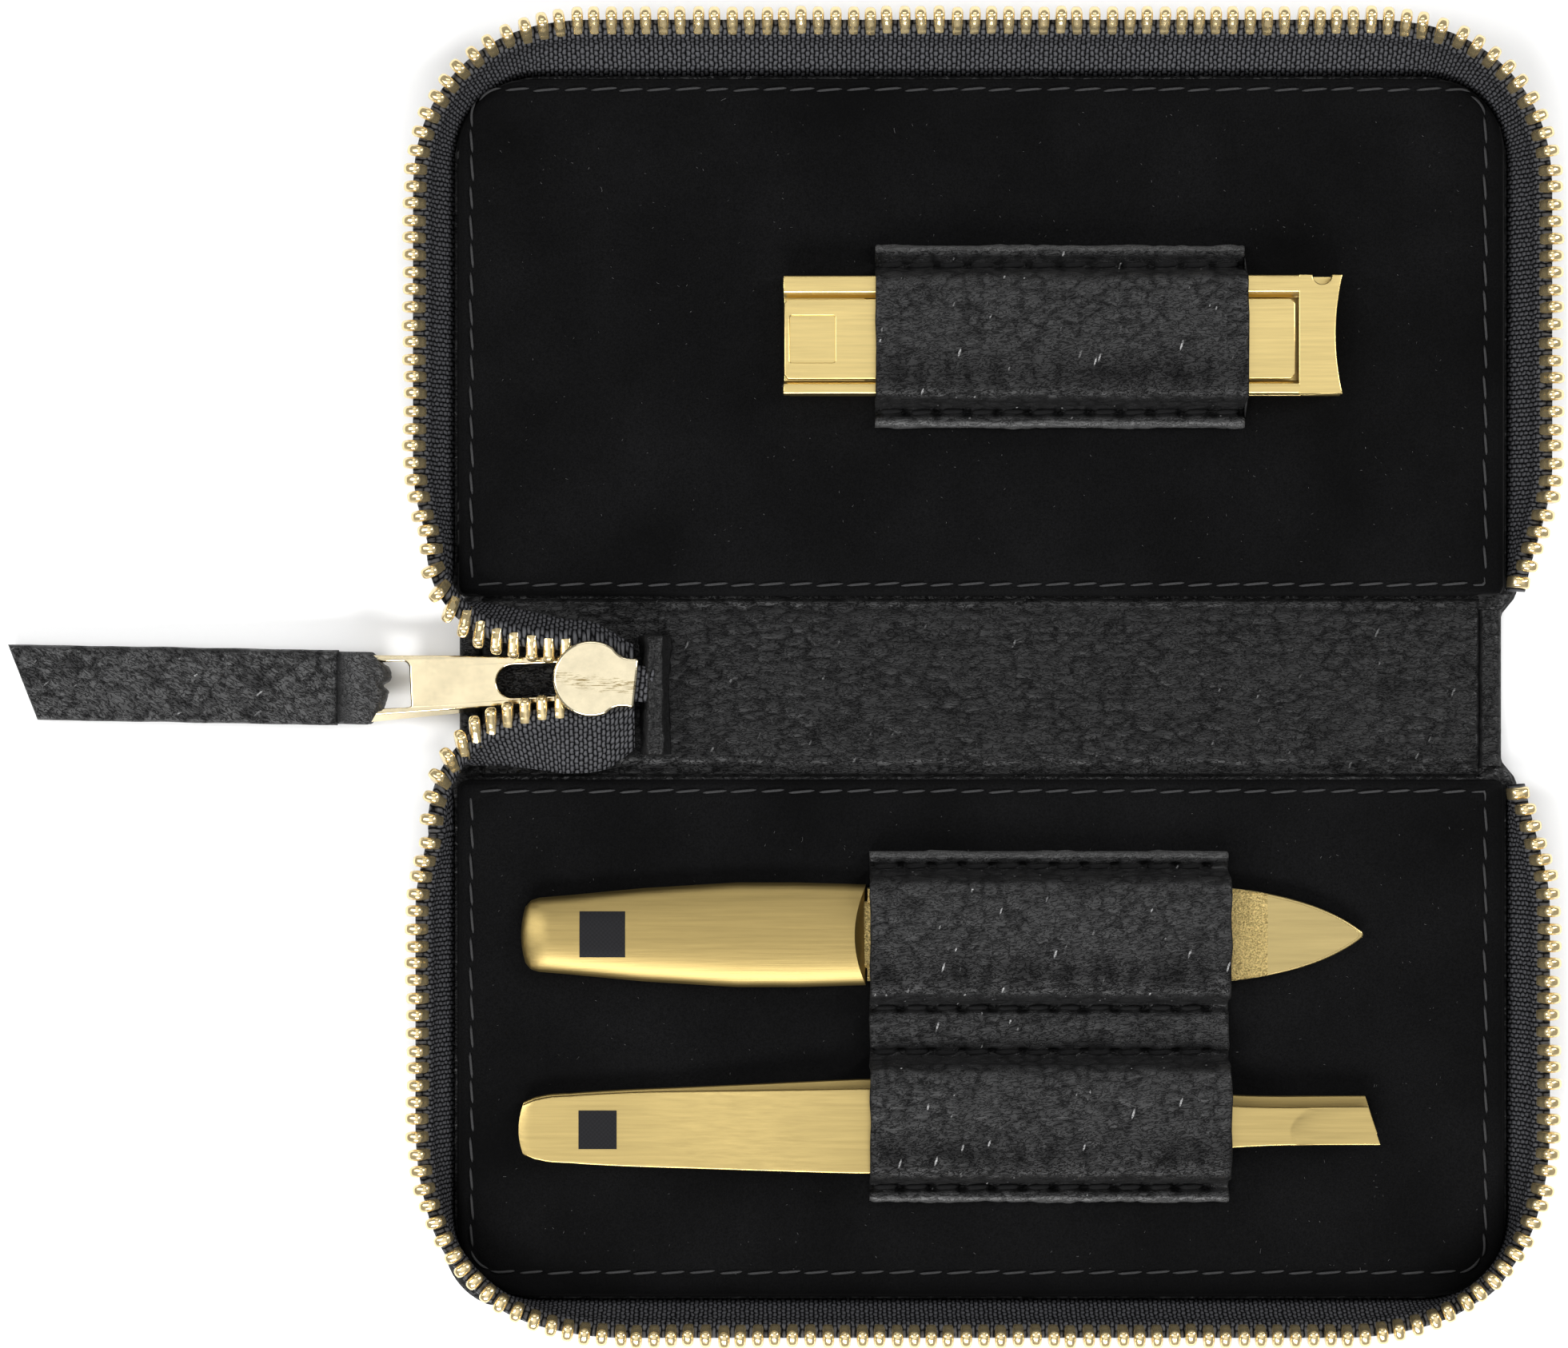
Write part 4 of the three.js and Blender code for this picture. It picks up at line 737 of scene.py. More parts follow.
class ZipLine:
    """Stations along a zip, found by length along its corded edge."""

    STEPS = 500

    def __init__(self, station, last):
        made = [station(last * i / self.STEPS) for i in range(self.STEPS + 1)]
        self.foot, self.edge, self.up = (np.array([m[k] for m in made]) for k in range(3))
        self.reach = lengths_along(self.edge)
        self.total = self.reach[-1]

    def pick(self, table, length):
        return np.array([np.interp(length, self.reach, table[:, axis]) for axis in range(3)])

    def at(self, length):
        """Foot, edge, tooth direction, direction along the zip, and the one square to both."""
        near = 0.2 * MM
        up = self.pick(self.up, length)
        up /= np.linalg.norm(up)
        forward = self.pick(self.edge, length + near) - self.pick(self.edge, length - near)
        forward -= up * np.dot(forward, up)
        forward /= np.linalg.norm(forward)
        return self.pick(self.foot, length), self.pick(self.edge, length), up, forward, np.cross(forward, up)


def weave_material(name, colour):
    """Woven tape: short plump yarns that lie across it in staggered rows, shaken a little out of line. It
    follows the piece's own length and width."""
    yarn, row = 0.78 * MM, 0.5 * MM
    material, tree, shader = tree_of(name)
    place = output_of(tree, "UVMap", uv_map="weave")
    wobble = add_node(tree, "TexNoise", place, Scale=1100.0, Detail=2.0).outputs["Color"]
    shaken = output_of(tree, "VectorMath", wobble, (0.0005, 0.0005, 0), place, operation="MULTIPLY_ADD")
    split = add_node(tree, "SeparateXYZ", shaken).outputs
    along = math_node("DIVIDE", split[0], row)
    odd = math_node("PINGPONG", math_node("FLOOR", along), 1.0)
    across = math_node("ADD", math_node("DIVIDE", split[1], yarn), math_node("MULTIPLY", odd, 0.5))
    bows = []
    for value, power in ((along, 0.8), (across, 0.5)):
        arch = math_node("SINE", math_node("MULTIPLY", math_node("FRACT", value), math.pi))
        bows.append(math_node("POWER", arch, power))
    fuzz = output_of(tree, "TexNoise", place, Scale=5200.0, Detail=3.0, Roughness=0.7)
    total = math_node("MULTIPLY", math_node("MULTIPLY", *bows), math_node("ADD", fuzz, 0.45))
    bumped(shader, total, 0.75, 0.00018)
    # Painted shade and highlight: the colour goes dark in the gaps between the yarns and bright on their
    # crowns.
    yarn_painted_light = ramp_of(total, 0.2, [c * 0.06 for c in colour], 1.0, [c * 1.8 for c in colour])
    dress(shader, Base_Color=yarn_painted_light, Specular_IOR_Level=ranged(total, 0.25, 0.8, 0.02, 0.4), Roughness=0.6)
    return material


def metal_material(name, colour, roughness, wear, scale=300.0, brushed=(1, 1, 1), bump=0.05, metallic=1.0):
    """Gold-coloured metal; brushed is a stretch that draws the noise out into brush lines."""
    material, tree, shader = tree_of(name)
    place = add_node(tree, "TexCoord").outputs["Object"]
    stretched = output_of(tree, "Mapping", place, Scale=brushed)
    grain = output_of(tree, "TexNoise", stretched, Scale=scale, Detail=5.0, Roughness=0.65)
    # Real wear here: only the roughness varies with the grain.
    wear_and_painted_light = output_of(tree, "MapRange", grain, To_Min=roughness - wear, To_Max=roughness + wear)
    dark, bright = [c * 0.86 for c in colour], [min(1.0, c * 1.05) for c in colour]
    bumped(shader, grain, bump, 0.00004)
    dress(shader, Base_Color=ramp_of(grain, 0.3, dark, 0.7, bright), Roughness=wear_and_painted_light, Metallic=metallic)
    return material


TAPE = weave_material("zip_tape_weave", (0.045, 0.0455, 0.05))
BRASS = metal_material("polished_brass", (0.87, 0.75, 0.5), 0.13, 0.04)
TOOTH_BRASS = metal_material("tooth_brass", (0.85, 0.68, 0.37), 0.15, 0.05, 1800.0, bump=0.35, metallic=0.86)


def tape_piece(name, line, lengths, seed, ripple=0.05, shares=((0, 1), (1, 1))):
    """Tape as a thin woven strip with a thick cord at its upper edge. Its section is the offset in mm and the
    share of the width; shares give how much of the width shows, by share of the tape's length."""
    half = [(0.33, 0.0), (0.3, 0.25), (0.28, 0.5), (0.28, 0.75), (0.3, 0.92), (0.6, 1.0), (0.84, 1.06)]
    half += [(0.92, 1.16), (0.88, 1.26), (0.66, 1.36), (0.34, 1.43), (0, 1.46)]
    section = [(-0.33, 0.0)] + half + [(-o, v) for o, v in half[-2:0:-1]]
    rings, uvs = [], []
    for length in lengths:
        foot, edge, up, _, out = line.at(length)
        slope = (edge - foot) * np.interp(length / line.total, *zip(*shares))
        width = np.linalg.norm(slope)
        ring = []
        for o, v in section:
            wave = noise.noise(Vector((length / MM * 0.3 + seed, v * 1.5, seed)))
            wave *= ripple * math.sin(min(v, 1) * math.pi)
            rise = slope if v <= 1 else up * TAPE_WIDTH
            ring.append(edge + rise * (v - 1) + out * (o + wave) * MM)
        rings.append(ring)
        uvs.append([(length, v * width) for _, v in section])
    return tube_object(name, rings, TAPE, uvs)


# One tooth: flat legs that straddle the cord and a long round head. Sizes in mm: height, half width along the
# zip, half thickness; then the roundness of the section.
TOOTH = (
    (0.0, 0.4, 0.7, 5), (0.06, 0.5, 0.78, 7), (0.2, 0.53, 0.8, 9), (0.95, 0.53, 0.8, 9),
    (1.15, 0.55, 0.86, 6), (1.35, 0.6, 0.98, 4), (1.7, 0.64, 1.06, 3.2), (2.05, 0.65, 1.06, 3),
    (2.3, 0.64, 1.02, 3), (2.5, 0.64, 1.03, 3), (2.75, 0.64, 1.02, 3), (2.99, 0.61, 0.95, 3),
    (3.17, 0.54, 0.82, 2.8), (3.3, 0.42, 0.6, 2.7), (3.38, 0.24, 0.35, 2.6), (3.4, 0.06, 0.12, 2.4),
)
# The clamp that ends the row: a wide tooth without a nose, pressed on the cord.
TOP_STOP = (
    (-0.45, 0.5, 0.85, 4), (-0.38, 0.62, 0.98, 6), (-0.2, 0.68, 1.04, 7), (1.5, 0.68, 1.04, 7),
    (1.85, 0.66, 1.0, 5), (2.1, 0.56, 0.84, 4), (2.25, 0.36, 0.55, 3), (2.3, 0.1, 0.2, 3),
)


def teeth_piece(name, line, first, last, seed, bare):
    """Teeth along a zip; bare gives, from a tooth's forward direction, how far its legs stand out of the
    cord."""
    sides, leg_half = 16, 0.97
    points, faces = [], []
    count = int((last - first - 1.05 * MM) / PITCH)
    start = (first + last - count * PITCH) / 2
    jitter = np.random.default_rng(seed)
    for i in range(count + 1):
        _, edge, up, forward, out = line.at(start + i * PITCH)
        wobble = jitter.normal(0, 0.025, 2)
        tilted = up + forward * wobble[0] + out * wobble[1]
        tilted /= np.linalg.norm(tilted)
        faces += tube_faces(len(TOOTH), sides, len(points))
        for u, c, o, power in TOOTH:
            half = max(o, leg_half * bare(forward)) if 0.4 < u < 1.5 else o
            ring = edge + up * TOOTH_SET + tilted * u * MM
            section = rounded_section(c * MM, half * MM, power, sides)
            points += [ring + forward * a + out * b for a, b in section]
    made = mesh_object(name, points, faces, TOOTH_BRASS)
    fix_normals(made)
    return made


def top_stop(half_name, line, body):
    _, edge, up, forward, out = line.at(line.total - 0.95 * MM)
    rings = []
    for u, c, o, power in TOP_STOP:
        section = rounded_section(c * MM, o * MM, power, 24)
        rings.append([edge + up * (TOOTH_SET + u * MM) + forward * a + out * b for a, b in section])
    made = tube_object(f"{half_name}_stop", rings, TOOTH_BRASS)
    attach(made, body)
    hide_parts(f"{half_name}_top_stop")


def standing_zip(half_name, side, side_lean, far_lean):
    """The zip round three sides of a half; returns its line."""
    line = ZipLine(lambda t: standing_station(t, side, side_lean, far_lean), 5)
    body = f"{half_name}_half"
    tape = tape_piece(f"{half_name}_tape", line, np.linspace(0, line.total, 330), seed=side + 4.0)
    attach(tape, body)
    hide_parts(f"{half_name}_zip_tape")
    far_side = lambda forward: float(smooth_step(0.8, 0.97, abs(forward[0]))) if side > 0 else 0.0
    teeth = teeth_piece(f"{half_name}_teeth", line, 0, line.total - 1.85 * MM, 5 + side, far_side)
    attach(teeth, body)
    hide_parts(f"{half_name}_zip_teeth")
    top_stop(half_name, line, body)
    return line


def turning_zip(half_name, side, standing, hang_share, waist, shares):
    """The bend from the standing zip to the slider, whose mouth is its curve's sixth point of eight."""
    start = (standing.foot[0], standing.edge[0], standing.up[0])
    line = ZipLine(bend_station(start, side, hang_share, waist), 1)
    mouth = line.reach[round(ZipLine.STEPS * 5 / 7)]
    lengths = np.linspace(-0.1 * MM, line.total, 110)
    tape = tape_piece(f"{half_name}_turn_tape", line, lengths, ripple=0.22, seed=side + 9.0, shares=shares)
    last = mouth + 0.525 * MM
    teeth = teeth_piece(f"{half_name}_turn_teeth", line, 0.3 * MM, last, 9 + side, lambda forward: 1.0)
    for piece, node in ((tape, "bend_tape"), (teeth, "bend_teeth")):
        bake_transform(piece)
        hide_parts(f"{half_name}_{node}")


upper_line = standing_zip("upper", 1, 4.3 * MM, 6.4 * MM)
turning_zip(
    "upper", 1, upper_line, 1.2, 3.2 * MM, ((0, 1), (0.3, 1), (0.7, 0.42), (1, 0.14)),
)
lower_line = standing_zip("lower", -1, 3.9 * MM, 3.4 * MM)
turning_zip(
    "lower", -1, lower_line, 0.62, 4.2 * MM, ((0, 1), (0.45, 1.05), (0.72, 1.26), (0.9, 1.2), (1, 0.85)),
)

# Slider: cast brass, two plates joined by a post, small flanges on the inner faces and a bail under it. Its
# inner plate is up; it has rounded edges and fine scratches.


def outline_fill(name, loops, z0, z1, bevel, material, steps, place=None):
    """A flat piece from closed outlines, the first one outside and the rest holes, with rounded edges."""
    curve = bpy.data.curves.new(name, "CURVE")
    curve.dimensions = "2D"
    curve.fill_mode = "BOTH"
    curve.extrude = (z1 - z0) / 2 - bevel
    curve.bevel_depth = bevel
    curve.bevel_resolution = steps
    curve.offset = -bevel
    for loop in loops:
        spline = curve.splines.new("POLY")
        spline.points.add(len(loop) - 1)
        spline.points.foreach_set("co", [v for x, y in loop for v in (x, y, 0, 1)])
        spline.use_cyclic_u = True
    drawn = linked(name + "_outline", curve)
    bpy.context.view_layer.update()
    mesh = bpy.data.meshes.new_from_object(drawn.evaluated_get(bpy.context.evaluated_depsgraph_get()))
    bpy.data.objects.remove(drawn)
    bpy.data.curves.remove(curve)
    work = bmesh.new()
    work.from_mesh(mesh)
    bmesh.ops.remove_doubles(work, verts=work.verts, dist=2e-7)
    bmesh.ops.recalc_face_normals(work, faces=work.faces)
    work.to_mesh(mesh)
    work.free()
    mesh.name = name
    made = linked(name, mesh)
    mesh.transform(Matrix.Translation((0, 0, (z0 + z1) / 2)))
    if place is not None:
        mesh.transform(place)
    mesh.materials.clear()
    mesh.materials.append(material)
    flatten_caps(made)
    return made


def flatten_caps(made):
    """Smooth shading whose normals follow the large faces, so that only the rounded edges look curved."""
    mesh = made.data
    mesh.polygons.foreach_set("use_smooth", [True] * len(mesh.polygons))
    mesh.polygons.foreach_set("material_index", [0] * len(mesh.polygons))
    weighted = made.modifiers.new("flat_faces", "WEIGHTED_NORMAL")
    weighted.weight = 100
    weighted.keep_sharp = True
    mesh.set_sharp_from_angle(angle=math.radians(50))


def join(name, pieces):
    """Several meshes as one object, keeping the first one's material."""
    work = bmesh.new()
    for piece in pieces:
        work.from_mesh(piece.data)
    mesh = bpy.data.meshes.new(name)
    work.to_mesh(mesh)
    work.free()
    mesh.materials.append(pieces[0].data.materials[0])
    made = linked(name, mesh)
    for piece in pieces:
        bpy.data.objects.remove(piece)
    flatten_caps(made)
    return made


def arc_points(cx, cy, radius, start, end, count):
    angles = np.radians(np.linspace(start, end, count))
    return [(cx + radius * math.cos(a), cy + radius * math.sin(a)) for a in angles]


def bend_points(p0, p1, p2, count):
    """Quadratic curve from p0 towards p1 to p2, without its first point."""
    p0, p1, p2 = (np.array(p, float) for p in (p0, p1, p2))
    shares = np.linspace(0, 1, count + 1)[1:]
    return [tuple((1 - t) ** 2 * p0 + 2 * t * (1 - t) * p1 + t * t * p2) for t in shares]


def slider_outline():
    """A round head with a tail that the bend's curves draw in to a square end."""
    head, tail, half, chamfer = 4.1 * MM, 4.9 * MM, 2.7 * MM, 0.25 * MM
    neck = (head * math.cos(math.pi / 3), head * math.sin(math.pi / 3))
    points = [(tail - chamfer, -half), (tail, chamfer - half)]
    points += [(x, -y) for x, y in points[::-1]]
    points += bend_points(points[3], (2.9 * MM, 2.4 * MM), neck, 12)
    points += arc_points(0, 0, head, 60, 300, 60)[1:]
    points += bend_points((neck[0], -neck[1]), (2.9 * MM, -2.4 * MM), points[0], 12)[:-1]
    return points


def slider():
    place = SLIDER_PLACE
    upright = place @ Matrix.Rotation(math.pi / 2, 4, "X")
    plate = [slider_outline()]
    pieces = [
        outline_fill("inner_plate", plate, 8.3 * MM, 9.2 * MM, 0.32 * MM, SLIDER_BRASS, 5, place),
        outline_fill("outer_plate", plate, 5.0 * MM, 5.9 * MM, 0.22 * MM, SLIDER_BRASS, 4, place),
    ]
    post = arc_points(-1.1 * MM, 0, 0.95 * MM, 0, 345, 24)
    pieces.append(outline_fill("post", [post], 5.7 * MM, 8.5 * MM, 0.05 * MM, SLIDER_BRASS, 1, place))
    for side in (-1, 1):
        y0, y1 = sorted((side * 2.6 * MM, side * 2.12 * MM))
        strip = [(1.3 * MM, y0), (4.7 * MM, y0), (4.7 * MM, y1), (1.3 * MM, y1)]
        for low, high in ((5.7 * MM, 6.5 * MM), (7.7 * MM, 8.5 * MM)):
            pieces.append(outline_fill("flange", [strip], low, high, 0.08 * MM, SLIDER_BRASS, 2, place))
    bail = [(-3.9, 5.3), (-3.9, 3.1), (-3.75, 2.72), (-3.35, 2.6), (-0.15, 2.6), (0.25, 2.72), (0.4, 3.1)]
    bail += [(0.4, 5.3), (-0.4, 5.3), (-0.4, 3.35), (-0.5, 3.22), (-3.0, 3.22), (-3.1, 3.35), (-3.1, 5.3)]
    bail = [(x * MM, z * MM) for x, z in bail]
    pieces.append(outline_fill("bail", [bail], -0.85 * MM, 0.85 * MM, 0.12 * MM, SLIDER_BRASS, 3, upright))
    made = join("slider", pieces)
    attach(made, "spine")
    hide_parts("slider_body")


def scratched_brass():
    """Polished brass with a band of fine dark scratches along the slider."""
    material = metal_material("slider_brass", (0.87, 0.77, 0.54), 0.12, 0.03, 500.0)
    tree = material.node_tree
    base_colour = tree.nodes["Principled BSDF"].inputs["Base Color"]
    place = add_node(tree, "TexCoord").outputs["Object"]
    drawn = output_of(tree, "Mapping", place, Scale=(0.07, 1, 1), Rotation=(0, 0, math.radians(9)))
    lines = output_of(tree, "TexNoise", drawn, Scale=7500.0, Detail=3.0, Roughness=0.7)
    patches = output_of(tree, "TexNoise", place, Scale=700.0, Detail=2.0)
    split = add_node(tree, "SeparateXYZ", place).outputs
    tilted = math_node("MULTIPLY", math_node("SUBTRACT", split[0], SLIDER_X), 0.12)
    offset = math_node("ADD", math_node("SUBTRACT", split[1], ZIP_Y - 0.4 * MM), tilted)
    band = output_of(tree, "MapRange", math_node("ABSOLUTE", offset), 0.0, 1.5 * MM, 1.0, 0.0)
    ragged = ranged(math_node("MULTIPLY", band, patches), 0.16, 0.34)
    mask = math_node("MULTIPLY", ragged, ranged(lines, 0.5, 0.6))
    polished = base_colour.links[0].from_socket
    feed(base_colour, output_of(tree, "MixRGB", mask, polished, (0.3, 0.22, 0.09, 1)))
    return material


SLIDER_BRASS = scratched_brass()
slider()

# Closed end of the zip: its two tapes sewn together, running from the slider into the keeper's pocket.


def zip_tail():
    section = rounded_section(1.95 * MM, 0.66 * MM, 4, 20)
    stations = np.linspace(1.3, 6.65, 24) * MM
    rings = [[(x, a, CHAIN_Z + b) for a, b in section] for x in stations]
    made = tube_object("zip_end_tape", rings, TAPE, [[(x, a) for a, _ in section] for x in stations])
    made.data.transform(SLIDER_PLACE)
    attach(made, "spine")
    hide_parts("zip_tail")


zip_tail()

# Pull: a polished brass tab, tapered, with a rounded window at the slider and a slot for the strap. It lies
# tilted, so one of its long sides shows.
PULL_PLACE = (
    Matrix.Translation((-44.05 * MM, 1.0 * MM, 4.1 * MM))
    @ Matrix.Rotation(math.radians(2.6), 4, "Z")
    @ Matrix.Rotation(math.radians(-2.6), 4, "Y")
)


def rounded_box(x0, x1, half_width, radius, count=8):
    low, high, side = x0 + radius, x1 - radius, half_width - radius
    points = []
    for quarter, (cx, cy) in enumerate(((high, side), (low, side), (low, -side), (high, -side))):
        points += arc_points(cx, cy, radius, 90 * quarter, 90 * quarter + 90, count)
    return points


def pull_tab():
    tip, root = -23.975 * MM, 0.525 * MM
    half_tip, half_root, tip_radius, root_radius = 3.6 * MM, 2.5 * MM, 1.2 * MM, 0.7 * MM
    outline = arc_points(root - root_radius, half_root - root_radius, root_radius, 0, 87, 8)
    outline += arc_points(tip + tip_radius, half_tip - tip_radius, tip_radius, 93, 180, 8)
    outline += [(x, -y) for x, y in outline[::-1]]
    half_window, chamfer, window_end = 1.75 * MM, 0.3 * MM, -0.55 * MM
    window = arc_points(-6.95 * MM, 0, half_window, 90, 270, 24)
    window += [(window_end - chamfer, -half_window), (window_end, -half_window + chamfer)]
    window += [(x, -y) for x, y in window[:-3:-1]]
    slot = rounded_box(-22.0 * MM, -18.2 * MM, 2.72 * MM, 0.75 * MM)
    made = outline_fill("pull_plate", [outline, window, slot], -0.6 * MM, 0.6 * MM, 0.26 * MM, BRASS, 4)
    points = np.empty(len(made.data.vertices) * 3)
    made.data.vertices.foreach_get("co", points)
    points = points.reshape(-1, 3)
    along = smooth_step(-6 * MM, -21 * MM, points[:, 0])
    outer_side = smooth_step(2.0 * MM, 3.0 * MM, -points[:, 1])
    high = smooth_step(-0.35 * MM, 0.35 * MM, points[:, 2])
    points[:, 1] += along * outer_side * (0.55 * MM * high - 0.12 * MM * (1 - high))
    points[:, 2] += 0.1 * MM * np.sin(math.pi * smooth_step(-24 * MM, 0, points[:, 0])) * high
    made.data.vertices.foreach_set("co", points.ravel())
    made.data.transform(PULL_PLACE)
    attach(made, "zip_pull")
    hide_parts("pull_tab")


pull_tab()

# Strap: two layers of crumpled leather sewn back to back; the fold that holds the pull's tip bar is pinched
# into two lobes. Its free end is cut on a slant.
STRAP_LEATHER = leather_material(
    "strap_leather", tint=0.012, roughness=0.36, shine=0.66, lie=-0.5, painted_glint_grey=0.3, depth=0.00014
)
STRAP_PLACE = (
    PULL_PLACE
    @ Matrix.Translation((-23.025 * MM, 0, 0))
    @ Matrix.Rotation(math.radians(-3.6), 4, "Z")
    @ Matrix.Rotation(math.radians(2.6), 4, "Y")
)


def ridged(x, y, scale, seed):
    """Noise with sharp crests."""
    return 1 - 2 * np.abs(noise_over(x, y, scale, seed))


def strap_body():
    """Both faces in one grid: across the upper face and back across the lower one."""
    nx, ny, half = 240, 56, 4.1 * MM
    start, end, slant = -39.4, -3.1, 3.4
    across = np.linspace(-1, 1, ny)
    rim = np.concatenate([across, across[::-1]])
    face = np.repeat((1.0, -1.0), ny)
    along = np.linspace(start, end, nx)[:, None]
    x = (along + slant * (1 - (rim + 1) / 2) * (1 - (along - start) / (end - start))) * MM
    y = np.broadcast_to(rim * half, x.shape)
    big = 0.6 * ridged(x, y, 0.17, 4.0) + 0.5 * ridged(x, y, 0.36, 8.5)
    domed, hollow = pebbles(x, y, (2.3 * MM, 1.8 * MM), 3.0)
    edge = dome(half - np.abs(y), 0.45 * MM)
    ends = dome(x - x[:1], 0.3 * MM) * dome(x[-1:] - x, 0.9 * MM)
    thick = (0.86 + 0.17 * big + 0.19 * (domed - 0.6) + 0.04 * noise_over(x, y, 0.9, 2.2)) * MM
    thick *= 0.45 + 0.55 * np.minimum(edge, ends)
    wavy = 0.07 * MM * noise_over(x, y * 0.01, 0.25, 6.0)
    droop = 1.6 * MM * (-3 * MM - x) / (36.5 * MM)
    made = tube_object("strap_leather", np.stack([x, y + wavy, face * thick - droop], -1), STRAP_LEATHER)
    # Painted shade in the creases between the pebbles.
    mark_hollows(made, 0.75 * hollow)
    return made


def normals_of(line):
    """Directions square to a path in a plane, on its left."""
    ahead = np.gradient(line, axis=0)
    ahead /= np.linalg.norm(ahead, axis=1)[:, None]
    return np.stack([-ahead[:, 1], ahead[:, 0]], -1)


def strap_fold():
    """The leather round the pull's tip bar: a path in mm as (x, z), swept across the strap."""
    path = [(-6.4, 0.1), (-4.8, 0.05), (-3.5, -0.02), (-2.95, 0.1), (-2.3, 0.85), (-1.0, 1.55), (0.5, 1.68)]
    path += [(1.5, 1.38), (2.05, 0.75), (2.2, 0.0), (2.0, -0.75), (1.3, -1.4), (0.2, -1.68), (-1.2, -1.6)]
    path += [(-2.6, -1.2), (-4.0, -0.75), (-5.2, -0.45), (-6.4, -0.35)]
    curve = smooth_curve([(x, 0, z) for x, z in path])
    line = np.array([curve(t)[[0, 2]] for t in np.linspace(0, 1, 90)])
    across = np.linspace(-1, 1, 41)
    lobes = 0.42 * np.abs(np.sin(math.pi * (across * 0.5 + 0.42))) - 0.42
    notch = -0.75 * np.exp(-(((across - 0.12) / 0.16) ** 2))
    rings = []
    for centre, away in zip(line, normals_of(line)):
        x, z = centre
        narrow = float(smooth_step(0.3, 2.1, x))
        half = 3.95 - 1.45 * narrow
        reach = (0.25 * across + lobes + notch * narrow) * narrow
        ring = []
        for face in (1, -1):
            for a, r in list(zip(across, reach))[::face]:
                edge = math.sqrt(max(0.0, 1 - abs(a) ** 8))
                off = face * 0.4 * (0.35 + 0.65 * edge)
                if face > 0:
                    off += noise.noise(Vector((x * 0.7, a * 2.4, z * 0.7 + face))) * 0.1
                    off += 0.08 * noise.noise(Vector((x * 0.5, a * 9, 3.0)))
                base = centre + away * off
                ring.append(((base[0] + r) * MM, a * half * MM, base[1] * MM))
        rings.append(ring)
    return tube_object("strap_fold", rings, STRAP_LEATHER)


strap = strap_body()
strap.data.transform(STRAP_PLACE)
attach(strap, "pull_leather")
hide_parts("pull_strap")
fold = strap_fold()
fold.data.transform(STRAP_PLACE)
bar_end, strap_start = (STRAP_PLACE @ Vector((x * MM, 0, 0)) for x in (-1.1, -5.6))
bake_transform(fold)
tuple(bar_end)
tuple(strap_start)

# Tools: gold-plated steel, brushed along its length. Nail clipper first: a fork-shaped upper jaw with two
# stepped rails and a hollow cutting edge, a lever nested between the rails, and a flat lower jaw.
BRUSHED = metal_material("brushed_gold", (0.72, 0.56, 0.235), 0.3, 0.06, 2800.0, (0.03, 1, 1), 0.35)
SATIN = metal_material("satin_gold", (0.54, 0.41, 0.165), 0.34, 0.05, 2800.0, (0.03, 1, 1), 0.3)
# A darker copy of the brushed gold, for the file's handle and the tweezers' under arm; on the under arm it is
# painted shade.
DARK_GOLD = metal_material("dark_gold", (0.36, 0.27, 0.105), 0.46, 0.06, 3000.0, (0.03, 1, 1), 0.4)
REST_Z = 3.95 * MM
CLIPPER_PLACE = Matrix.Translation((-21.7 * MM, 38.2 * MM, REST_Z))
TOP_PLACE = (
    CLIPPER_PLACE
    @ Matrix.Translation((4.5 * MM, 0, 1.05 * MM))
    @ Matrix.Rotation(math.radians(-1), 4, "Y")
    @ Matrix.Translation((-4.5 * MM, 0, -1.05 * MM))
)


def hollow_edge(tip, half):
    """The cutting edge, from its low Y corner to its high Y corner."""
    return [(tip - EDGE_SAG * (1 - (y / half) ** 2), y) for y in np.linspace(-half, half, 24)]


def drawn_bar(name, x0, x1, ring, material):
    """A straight bar along X with the given (y, z) outline, very slightly drawn in at x0."""
    ring = np.asarray(ring, float)
    y, z = ring.mean(0)
    rows = [[(x, *point) for point in ring] for x in (x0, x0 + 0.06 * MM, x1)]
    rows[0] = [(x0, a + (y - a) * 0.012, b + (z - b) * 0.03) for a, b in ring]
    made = tube_object(name, rows, material)
    flatten_caps(made)
    return made


def rail_ring(outer, inner, low, high, step):
    """A rail's outline: a flat top outside, a step down towards the lever, rounded outer edge."""
    s = math.copysign(1, outer)
    top = outer + (inner - outer) * 0.68
    return [
        (inner, low), (outer - s * 0.1 * MM, low), (outer, low + 0.12 * MM), (outer, high - 0.3 * MM),
        (outer - s * 0.09 * MM, high - 0.09 * MM), (outer - s * 0.3 * MM, high), (top, high),
        (top + (inner - top) * 0.35, high - step * 0.25), (top + (inner - top) * 0.75, high - step * 0.8),
        (inner, high - step),
    ]


JAW_HALF, JAW_TIP, EDGE_SAG, WINDOW_END, RAILS_LOW = 6.45 * MM, 60.6 * MM, 0.75 * MM, 55.85 * MM, 1.06 * MM
WINDOW_NEAR, WINDOW_FAR = -4.95 * MM, 4.05 * MM


